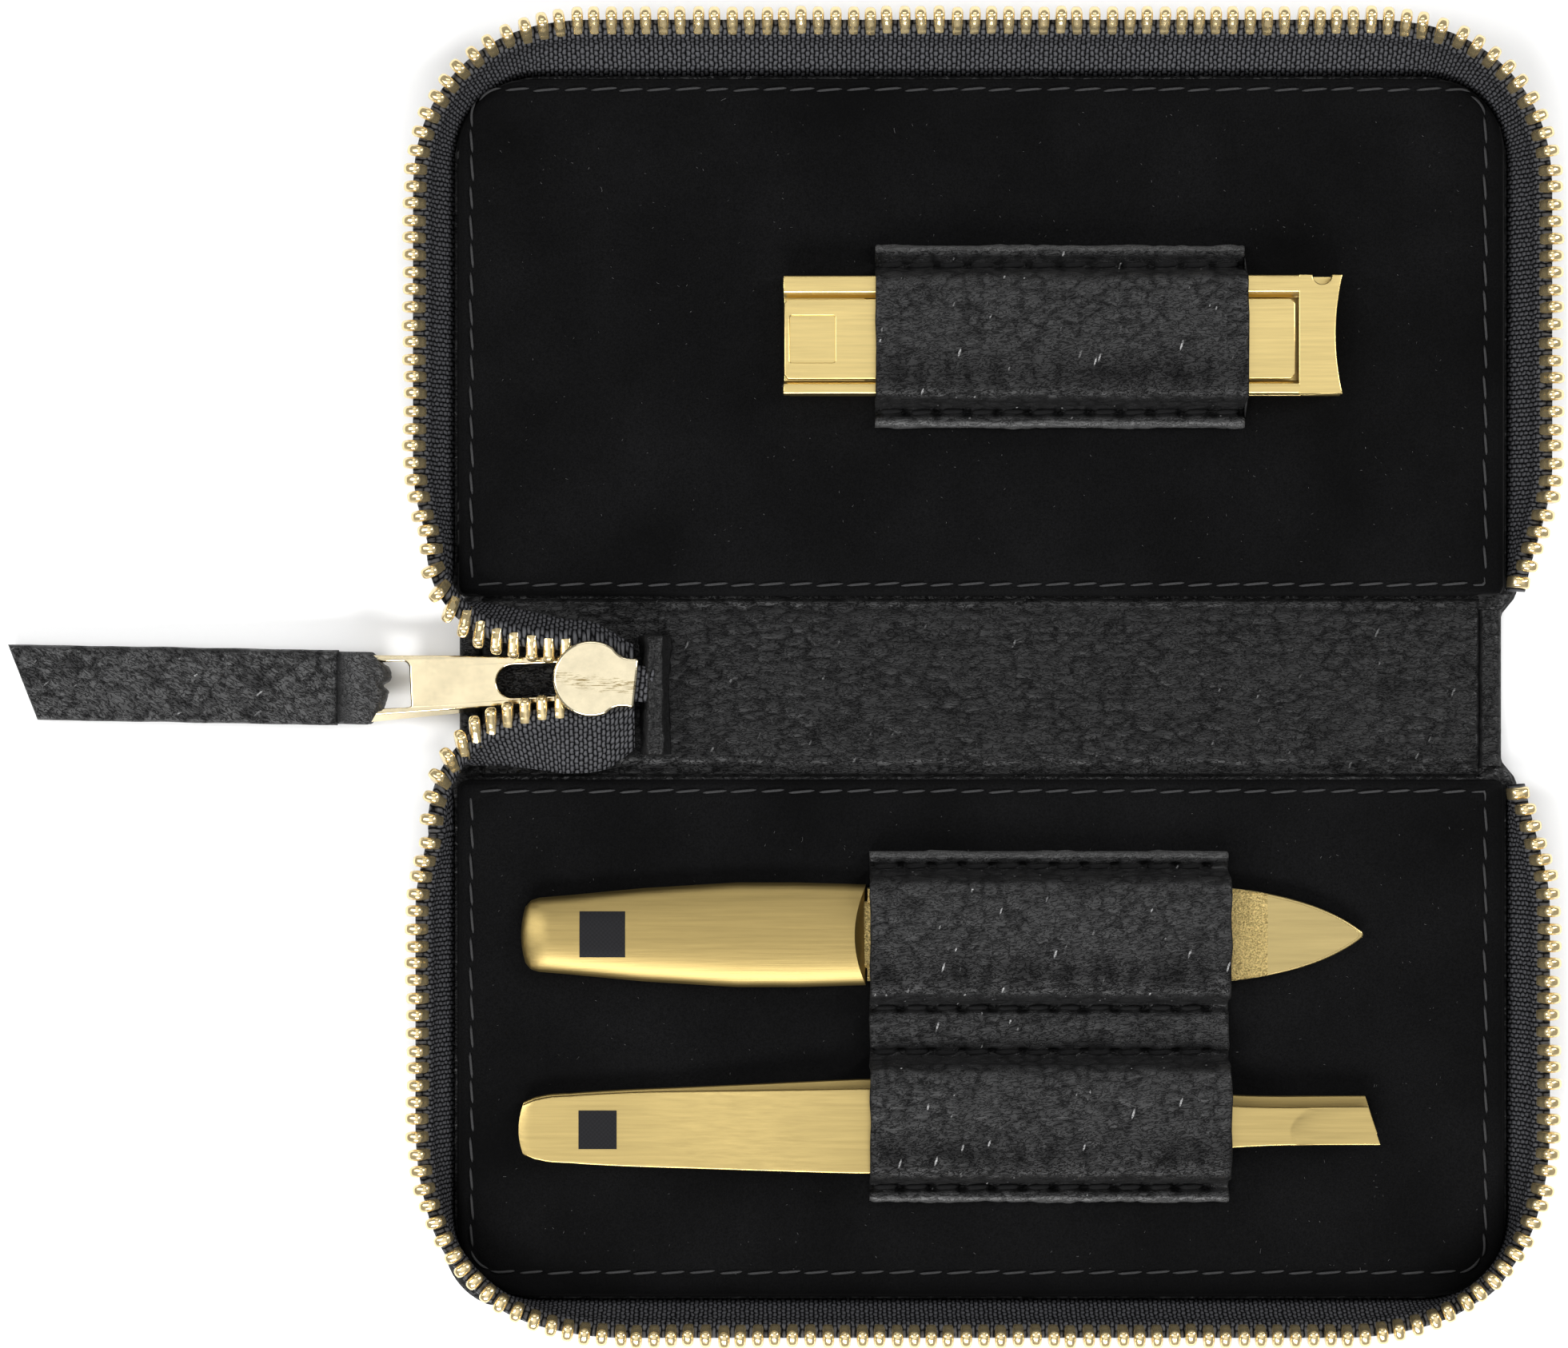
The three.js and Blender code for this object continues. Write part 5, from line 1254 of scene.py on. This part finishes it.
def clipper_fork():
    half, tip, low, high = JAW_HALF, JAW_TIP, RAILS_LOW, 3.1 * MM
    notch = arc_points(tip - 2.2 * MM, half, 1.05 * MM, 0, -180, 14)
    edge = [p for p in hollow_edge(tip, half) if p[1] < half - 0.01 * MM]
    head = [(WINDOW_END, -half), *edge, (tip, half), *notch, (WINDOW_END, half)]
    pieces = [outline_fill("head", [head], low + 0.6 * MM, high, 0.14 * MM, BRUSHED, 3)]
    for outer, inner, step in ((half, WINDOW_FAR, 0.75 * MM), (-half, WINDOW_NEAR, 0.55 * MM)):
        ring = rail_ring(outer, inner, low, high - 0.004 * MM, step)
        pieces.append(drawn_bar("rail", 0.2 * MM, WINDOW_END + 0.2 * MM, ring, BRUSHED))
    x0, x1, y0, y1 = 0.4 * MM, 9 * MM, WINDOW_NEAR - 0.3 * MM, WINDOW_FAR + 0.3 * MM
    floor = [(x0, y0), (x1, y0), (x1, y1), (x0, y1)]
    pieces.append(outline_fill("floor", [floor], low, low + 0.68 * MM, 0.06 * MM, BRUSHED, 1))
    made = join("clipper_fork", pieces)
    made.data.transform(TOP_PLACE)
    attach(made, "clipper_top")
    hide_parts("clipper_upper_jaw")


def clipper_nested_lever():
    end, fit, chamfer = 55.5 * MM, 0.17 * MM, 0.5 * MM
    y0, y1 = WINDOW_NEAR + fit, WINDOW_FAR - fit
    outline = [(0.7 * MM, y1), (0.25 * MM, y1 - 0.45 * MM), (0.25 * MM, y0 + 0.45 * MM), (0.7 * MM, y0)]
    outline += [(end - chamfer, y0), (end, y0 + chamfer), (end, y1 - chamfer), (end - chamfer, y1)]
    recess = [(x, y + (y0 + y1) / 2) for x, y in rounded_box(0.85 * MM, 5.75 * MM, 2.55 * MM, 0.25 * MM, 4)]
    plate = outline_fill("plate", [outline, recess], 2.7 * MM, 3.02 * MM, 0.14 * MM, BRUSHED, 3)
    under = outline_fill("under", [outline], 2.1 * MM, 2.76 * MM, 0.05 * MM, BRUSHED, 2)
    made = join("clipper_nested_lever", [plate, under])
    made.data.transform(TOP_PLACE)
    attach(made, "clipper_top")
    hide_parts("clipper_lever")


def clipper_flat_jaw():
    half, tip, inset = JAW_HALF, JAW_TIP, 0.02 * MM
    outline = [(0.2 * MM, half - 0.8 * MM), (0.2 * MM, -half + 0.8 * MM), (0.9 * MM, -half)]
    outline += hollow_edge(tip, half) + [(0.9 * MM, half)]
    sheet = outline_fill("sheet", [outline], 0, 0.9 * MM, 0.12 * MM, BRUSHED, 2)
    back = WINDOW_END + 0.45 * MM
    bite = [(back, inset - half), *hollow_edge(tip - inset, half - inset), (back, half - inset)]
    edge = outline_fill("bite", [bite], 0.5 * MM, 1.5 * MM, 0.1 * MM, BRUSHED, 2)
    made = join("clipper_flat_jaw", [sheet, edge])
    made.data.transform(CLIPPER_PLACE)
    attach(made, "clipper")
    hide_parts("clipper_lower_jaw")


clipper_fork()
clipper_nested_lever()
clipper_flat_jaw()
for name in ("clipper_rivet", "clipper_pin"):
    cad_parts[name].data.materials.clear()
    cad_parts[name].data.materials.append(BRUSHED)

# Nail file: a half-round handle with a hollow front end, a leaf-shaped blade with a band of grit and a bare
# bevelled point. The square near the handle's end is plain dark enamel.


def file_handle():
    """Half-round and tapered, with a nose at its left end and a front end that is hollow seen from above."""
    x0, x1, middle, chamfer = -49.6 * MM, -12.6 * MM, -26.85 * MM, 0.12 * MM
    shares = (0, 0.016, 0.04, 0.12, 0.35, 0.62, 0.8, 1)
    half_widths = (3.05, 3.72, 4.0, 4.25, 5.05, 5.66, 5.66, 5.45)
    v = np.linspace(-1, 1, 32)
    arched = np.sqrt(np.clip(1 - (np.abs(v) ** 2.1) * 0.985, 0, 1)) ** 0.9
    rings = []
    for u in np.linspace(0, 1, 120) ** 1.35:
        half = np.interp(u, shares, half_widths) * MM
        rise = 2.8 * MM * (0.42 + 0.58 * float(dome(u, 0.075)))
        side = min(0.9 * MM, rise * 0.5)
        x = x0 + (x1 - x0) * u
        hollow = -1.25 * MM * float(smooth_step(0.9, 1, u)) ** 2
        nose = -0.45 * MM * (1 - float(smooth_step(0, 0.05, u)))
        xs = x + (1 - v**2) * (hollow + nose)
        ring = [(a, middle + b * half, REST_Z + c) for a, b, c in zip(xs, v, side + (rise - side) * arched)]
        for face in (1, -1):
            corners = [(x, middle + face * half, REST_Z + chamfer), (x, middle + face * half * 0.97, REST_Z)]
            ring += corners[::face]
        rings.append(ring)
    made = tube_object("file_grip", rings, DARK_GOLD)
    made.data.set_sharp_from_angle(angle=math.radians(42))
    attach(made, "nail_file")
    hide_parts("file_handle")


file_handle()


def badge(name, x0, x1, y0, y1, surface, body):
    """A plain dark enamel square that lies on a curved surface; surface gives z from y."""
    x, y = np.meshgrid(np.linspace(x0, x1, 4), np.linspace(y0, y1, 14))
    top = surface(y) + 0.035 * MM
    made = slab_object(name, x, y, top, top - 0.12 * MM, ENAMEL)
    made.data.set_sharp_from_angle(angle=math.radians(40))
    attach(made, body)


ENAMEL, tree, shader = tree_of("dark_enamel")
place = add_node(tree, "TexCoord").outputs["Object"]
fired = add_node(tree, "TexChecker", place, (0.004, 0.004, 0.005, 1), (0.007, 0.007, 0.0085, 1), 4200.0)
dress(shader, Base_Color=fired.outputs[0], Roughness=0.35, Specular_IOR_Level=0.2)


def handle_top(y):
    """The handle's height over y, where the square lies."""
    arched = np.clip(1 - np.abs((y / MM + 26.85) / 4.6) ** 2.1 * 0.985, 0, 1) ** 0.45
    return REST_Z + (0.9 + 1.9 * arched) * MM


badge("file_square", -43.65 * MM, -38.7 * MM, -29.2 * MM, -24.2 * MM, handle_top, "nail_file")


def grit_steel():
    """The blade's steel: satin at the point and the tang, coarse grit over the filing faces whose colour is
    darkened in its hollows as painted shade and brightened on its raised specks, up to 2.4 times the gold, as
    painted glints.
    """
    material = metal_material("grit_gold", (0.5, 0.39, 0.17), 0.36, 0.05, 1400.0, (0.05, 1, 1), 0.25)
    tree = material.node_tree
    inputs = tree.nodes["Principled BSDF"].inputs
    grit_end = 31.0 * MM
    place = add_node(tree, "TexCoord").outputs["Object"]
    mask = math_node("LESS_THAN", output_of(tree, "SeparateXYZ", place), grit_end)
    grains = add_node(tree, "TexVoronoi", place, Scale=3600.0).outputs["Distance"]
    rough = output_of(tree, "TexNoise", place, Scale=5200.0, Detail=3.0, Roughness=0.75)
    height = math_node("ADD", grains, math_node("MULTIPLY", rough, 1.4))
    satin = inputs["Normal"].links[0].from_socket
    raised = add_node(tree, "Bump", Strength=mask, Distance=0.00016, Height=height, Normal=satin)
    feed(inputs["Normal"], raised.outputs[0])
    # Painted shade and glints: the grit's colour is darker in the hollows and brighter on the raised specks.
    glints = ramp_of(rough, 0.3, (0.5, 0.45, 0.36), 0.75, (2.4, 2.4, 2.35))
    gold = inputs["Base Color"].links[0].from_socket
    feed(inputs["Base Color"], output_of(tree, "MixRGB", mask, gold, glints, blend_type="MULTIPLY"))
    return material


def file_blade():
    """Two leaf-shaped plates, the upper one set in a little, so that the blade's edge is stepped."""
    material = grit_steel()
    middle, tang_end, shoulder, taper, tip, half, tang = -26.8, -47.0, -12.45, 26.9, 41.4, 5.05, 3.6
    plates = []
    for inset, low, high, bevel in ((0.0, 0.6, 1.5, 0.2), (0.28, 1.4, 1.6, 0.04)):
        side, point, start = inset - half, tip - 1.7 * inset, shoulder + inset
        outline = [(tang_end, inset - tang), (start, inset - tang), (start, side), (taper, side)]
        outline += bend_points((taper, side), (point - 4.8, side * 0.8), (point - 0.1, -0.3), 24)
        outline += [(point + 0.02, 0)] + [(x, -y) for x, y in outline[::-1]]
        outline = [(x * MM, (y + middle) * MM) for x, y in outline]
        ends = REST_Z + low * MM, REST_Z + high * MM
        plates.append(outline_fill("leaf", [outline], *ends, bevel * MM, material, 2))
    made = join("file_leaf", plates)
    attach(made, "nail_file")
    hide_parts("file_blade")


file_blade()

# Tweezers: two sprung arms welded at the left end, ground to a rounded bevel and a slanted tip at the right.


def plate_section(half, thin):
    """A flat bar's section from its low Y edge round to it again, with small round edges."""
    r, steps = 0.17, 17
    x, z = half - r, thin / 2 - r
    ring = [(a, thin / 2) for a in np.linspace(-x, x, steps)]
    ring += arc_points(x, z, r, 68, 0, 4) + arc_points(x, -z, r, 0, -68, 4)
    ring += [(a, -thin / 2) for a in np.linspace(x, -x, steps)]
    ring += arc_points(-x, -z, r, -112, -180, 4) + arc_points(-x, z, r, 180, 112, 4)
    return ring


ARM_X, ARM_Y, ARM_THICKNESS, ARM_LENGTH, BEVEL_START = -49.8, -47.95, 0.9, 92.8, 83.0


def tweezers_arm(name, gap, skew, upper, material, body, node):
    """One arm, in mm from its left end: gap gives its height from x, skew how far its left end lies aside."""
    even = np.linspace(0, 1, 150)
    t = np.concatenate([even[even < 0.86], np.linspace(0.86, 0.93, 56), even[even > 0.935]])
    shares = (0, 0.012, 0.03, 0.12, 0.42, 0.66, 0.86, 1)
    half_widths = (2.7, 3.2, 3.55, 4.05, 4.65, 3.35, 2.05, 2.1)
    fine = np.interp(even, shares, half_widths)
    smooth = np.convolve(np.pad(fine, 6, mode="edge"), np.ones(13) / 13, mode="valid")
    rings = []
    for u, w in zip(t, np.interp(t, even, np.where(even < 0.05, fine, smooth))):
        x = u * ARM_LENGTH
        centre = ARM_Y + 0.55 * float(smooth_step(40, 90, x))
        centre += skew * (0.2 + 0.8 * float(smooth_step(6, 50, x)))
        end = float(dome(u, 0.004))
        slant = -1.35 * float(smooth_step(0.93, 1, u))
        nose = -0.5 * (1 - float(smooth_step(0, 0.04, u)))
        ring = []
        for a, b in plate_section(w, ARM_THICKNESS):
            v = a / w
            z = gap(x) + ARM_THICKNESS / 2 + b * (0.7 + 0.3 * end)
            if (b > 0) == upper:
                ground = 0.36 * (1 - math.exp(-max(0.0, x - BEVEL_START - 1.5 * (v + 0.25) ** 2) / 2.4))
                z += -ground if upper else ground
            shift = slant * (0.5 + 0.5 * v) + nose * (1 - v * v)
            ring.append(((ARM_X + x + shift) * MM, (centre + a) * MM, REST_Z + z * MM))
        rings.append(ring)
    made = tube_object(name, rings, material)
    made.data.set_sharp_from_angle(angle=math.radians(48))
    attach(made, body)
    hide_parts(node)


def bowed(x):
    """The upper arm's height: it lies on the lower one at the weld and stands off it further on."""
    return 0.92 + 1.85 * float(smooth_step(10.6, 36, x))


# The under arm wears the darker gold as painted shade, for it lies under the upper arm.
tweezers_arm("tweezers_under", lambda x: 0.0, 0.95, False, DARK_GOLD, "tweezers", "tweezers_lower_arm")
tweezers_arm("tweezers_over", bowed, 0.0, True, SATIN, "tweezers_top", "tweezers_upper_arm")
badge(
    "tweezers_square", -43.8 * MM, -39.65 * MM, -50.05 * MM, -45.85 * MM,
    lambda y: np.full_like(y, REST_Z + 1.82 * MM), "tweezers_top",
)

# Loops: thick pebbled leather sewn flat to the lining beside each tunnel. The seams sit in grooves, where
# black thread pulls the leather down stitch by stitch; the tunnels wrinkle along the tools.
LOOP_LEATHER = leather_material(
    "loop_leather", tint=0.009, roughness=0.42, shine=0.46, lie=0.12, painted_glint_grey=0.4, depth=0.00009
)
LOOP_THREAD = thread_material("loop_thread", (0.008, 0.008, 0.0085), gloss=0.2)


def loop_profile(edges, tunnels):
    """The outer line of a loop as (y, z) in mm, from low y to high y, and the same line's inner partner."""
    low, high = edges
    sole = 3.84
    rim = [(0, 4.1), (0.06, 4.85), (0.4, 5.12), (1.1, 5.12), (1.55, 4.75)]
    under_rim = [0.02, 0.02, 0.4, 1.1, 1.55]
    outer = [(low + inset, z) for inset, z in rim]
    inner = [(low + inset, sole) for inset in under_rim]
    for i, (y0, y1, top, sag) in enumerate(tunnels):
        outer += [(y0 - 0.1, 4.62), (y0 + 0.28, 5.4), (y0 + 0.62, 6.6), (y0 + 0.95, top - 0.95 - sag)]
        outer += [(y0 + 1.6, top - 0.34 - sag), (y0 + 2.9, top - 0.1 - sag * 0.7), ((y0 + y1) / 2, top)]
        outer += [(y1 - 2.6, top - 0.03), (y1 - 1.5, top - 0.3), (y1 - 0.9, top - 0.95), (y1 - 0.62, 6.6)]
        outer += [(y1 - 0.28, 5.4), (y1 + 0.1, 4.62)]
        inner += [(y0 + 0.35, sole), (y0 + 0.8, 5.0), (y0 + 1.1, 6.3), (y0 + 1.35, top - 1.45 - sag)]
        inner += [(y0 + 2.0, top - 1.05 - sag), (y0 + 3.1, top - 0.92 - sag * 0.7)]
        inner += [((y0 + y1) / 2, top - 0.85)]
        inner += [(y1 - 2.9, top - 0.88), (y1 - 2.0, top - 1.1), (y1 - 1.42, top - 1.5), (y1 - 1.18, 6.3)]
        inner += [(y1 - 0.85, 5.0), (y1 - 0.35, sole)]
        if i + 1 < len(tunnels):
            nxt = tunnels[i + 1][0]
            between = (y1 + 0.75, y1 + 1.3, (y1 + nxt) / 2, nxt - 1.3, nxt - 0.75)
            outer += zip(between, (5.15, 5.35, 5.45, 5.35, 5.15))
            inner += [(y, sole) for y in between]
    outer += [(high - inset, z) for inset, z in rim[::-1]]
    inner += [(high - inset, sole) for inset in under_rim[::-1]]
    return np.array(outer), np.array(inner)


def loop_lines(edges, tunnels, count):
    """In mm: the outer line at even steps, the inner one at every third, and the outer one's normals and
    lengths."""
    curves = [smooth_curve([(0, y, z) for y, z in line]) for line in loop_profile(edges, tunnels)]
    even = np.linspace(0, 1, 1500)
    reach = lengths_along([curves[0](t) for t in even])
    places = np.interp(np.linspace(0, reach[-1], count), reach, even)
    outer, inner = (np.array([curve(t)[1:] for t in at]) for curve, at in zip(curves, (places, places[::3])))
    return outer, inner, normals_of(outer), lengths_along(outer)


STITCH_PITCH, FIRST_STITCH = 3.32, 0.1


def leather_loop(name, node, body, x0, x1, edges, tunnels, rows, seed):
    """In mm: edges are the loop's low and high y; a tunnel is its low and high y, its top's z and how far its
    low side sags; rows are the seams' y."""
    outer, inner, out, length = loop_lines(edges, tunnels, 120 * len(tunnels) + 50)
    y, z = outer.T
    xs = np.linspace(x0, x1, 190)
    along, over = np.meshgrid(xs * MM, length * MM, indexing="ij")
    domed, hollow = pebbles(along, over, (2.1 * MM, 1.7 * MM), seed)
    medium = noise_over(along, over * 0.55, 0.2, seed + 3)
    fine = noise_over(along, over, 1.15, seed + 6)
    creases = np.clip(ridged(along, over * 0.45, 0.33, seed + 9), 0, 1)
    cell = ((xs - x0 - FIRST_STITCH) / STITCH_PITCH) % 1
    stitched = (smooth_step(0.1, 0.22, cell) * (1 - smooth_step(0.78, 0.9, cell)))[:, None]
    push = 0.17 * (domed - 0.68) + 0.06 * medium + 0.02 * fine
    # low_side and holes mark painted shade: the colour darkens on the tunnels' lower slopes and in the stitch
    # holes of the seam grooves.
    low_side, holes = np.zeros_like(push), np.zeros_like(push)
    for tunnel_low, *_ in tunnels:
        slope = np.exp(-(((y - (tunnel_low + 3.6)) / 2.6) ** 2)) * (z > 7)
        push = push - 0.13 * creases**3 * slope
        low_side += slope * (0.55 + 0.45 * creases**2)
    for row in rows:
        near = np.exp(-(((y - row) / 0.36) ** 2)) * (z < 6.2)
        push = push * (1 - 0.6 * near) - near * (0.5 - 0.38 * stitched)
        holes += near * (1 - stitched)
    wander = [0.11 * math.sin(0.5 * x + seed) + 0.09 * noise.noise(Vector((x * 0.8, seed, 0))) for x in xs]
    rim = np.array(wander)[:, None]
    top_x = np.repeat(xs[:, None], len(y), 1)
    top_y, top_z = y + out[:, 0] * push, z + out[:, 1] * push
    top_z[:, 0], top_z[:, -1] = z[0], z[-1]
    top_y[:, :4] += rim
    top_y[:, -4:] -= rim
    for i in (0, 1, 2, -3, -2, -1):
        top_x[i] += [0.14 * noise.noise(Vector((a * 0.35, seed, i < 0))) for a in length]
    for i in (0, -1):
        top_y[i] -= out[:, 0] * 0.12
        top_z[i] -= out[:, 1] * 0.12
    low = np.stack([top_x[:, ::3], *(np.broadcast_to(a, top_x[:, ::3].shape) for a in inner.T)], -1)
    rings = np.concatenate([np.stack([top_x, top_y, top_z], -1), low[:, ::-1]], axis=1) * MM
    raw = 1 - smooth_step(1.3, 1.6, np.minimum(length, length[-1] - length) + 0.2 * medium)
    # Painted shade over creases, lower slopes and stitch holes, with painted glints where it is strongest.
    wear_and_painted_light = np.maximum(np.maximum(0.65 * hollow, low_side), holes)
    made = tube_object(name, rings, LOOP_LEATHER)
    mark_hollows(made, np.concatenate([wear_and_painted_light * (1 - raw) - raw, np.full(low.shape[:2], -1.0)], axis=1))
    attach(made, body)
    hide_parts(node)


def loop_stitches(name, body, x0, x1, rows, seed):
    random = np.random.default_rng(int(seed))
    t = np.linspace(-1, 1, 7)
    threads = []
    for row in rows:
        for k in range(int((x1 - x0 - 0.3) / STITCH_PITCH) + 1):
            middle = x0 + FIRST_STITCH + (k + 0.5) * STITCH_PITCH
            if middle <= x1 - 0.9:
                y = row + 0.1 * t + random.normal(0, 0.03)
                line = np.stack([middle + 1.3 * t, y, 4.66 - 0.3 * t**4], -1) * MM
                threads.append((line, 0.31 * MM * capsule(t)))
    sewn = threads_object(name, threads, LOOP_THREAD)
    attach(sewn, body)


clipper_ends, clipper_rows = (-11.6, 28.6), (30.0, 45.95)
twin_ends, twin_rows = (-12.2, 26.8), (-54.25, -39.6, -34.8, -19.4)
leather_loop(
    "clipper_leather_loop", "clipper_loop", "upper_half", *clipper_ends, (28.3, 48.1),
    [(30.25, 45.75, 9.35, 0.0)], clipper_rows, 3.0,
)
loop_stitches("clipper_leather_loop_stitches", "upper_half", *clipper_ends, clipper_rows, 3.0)
leather_loop(
    "twin_leather_loop", "twin_loop", "lower_half", *twin_ends, (-55.9, -17.8),
    [(-54.0, -39.95, 9.3, 0.15), (-34.45, -19.65, 9.1, 0.35)], twin_rows, 7.0,
)
loop_stitches("twin_leather_loop_stitches", "lower_half", *twin_ends, twin_rows, 7.0)
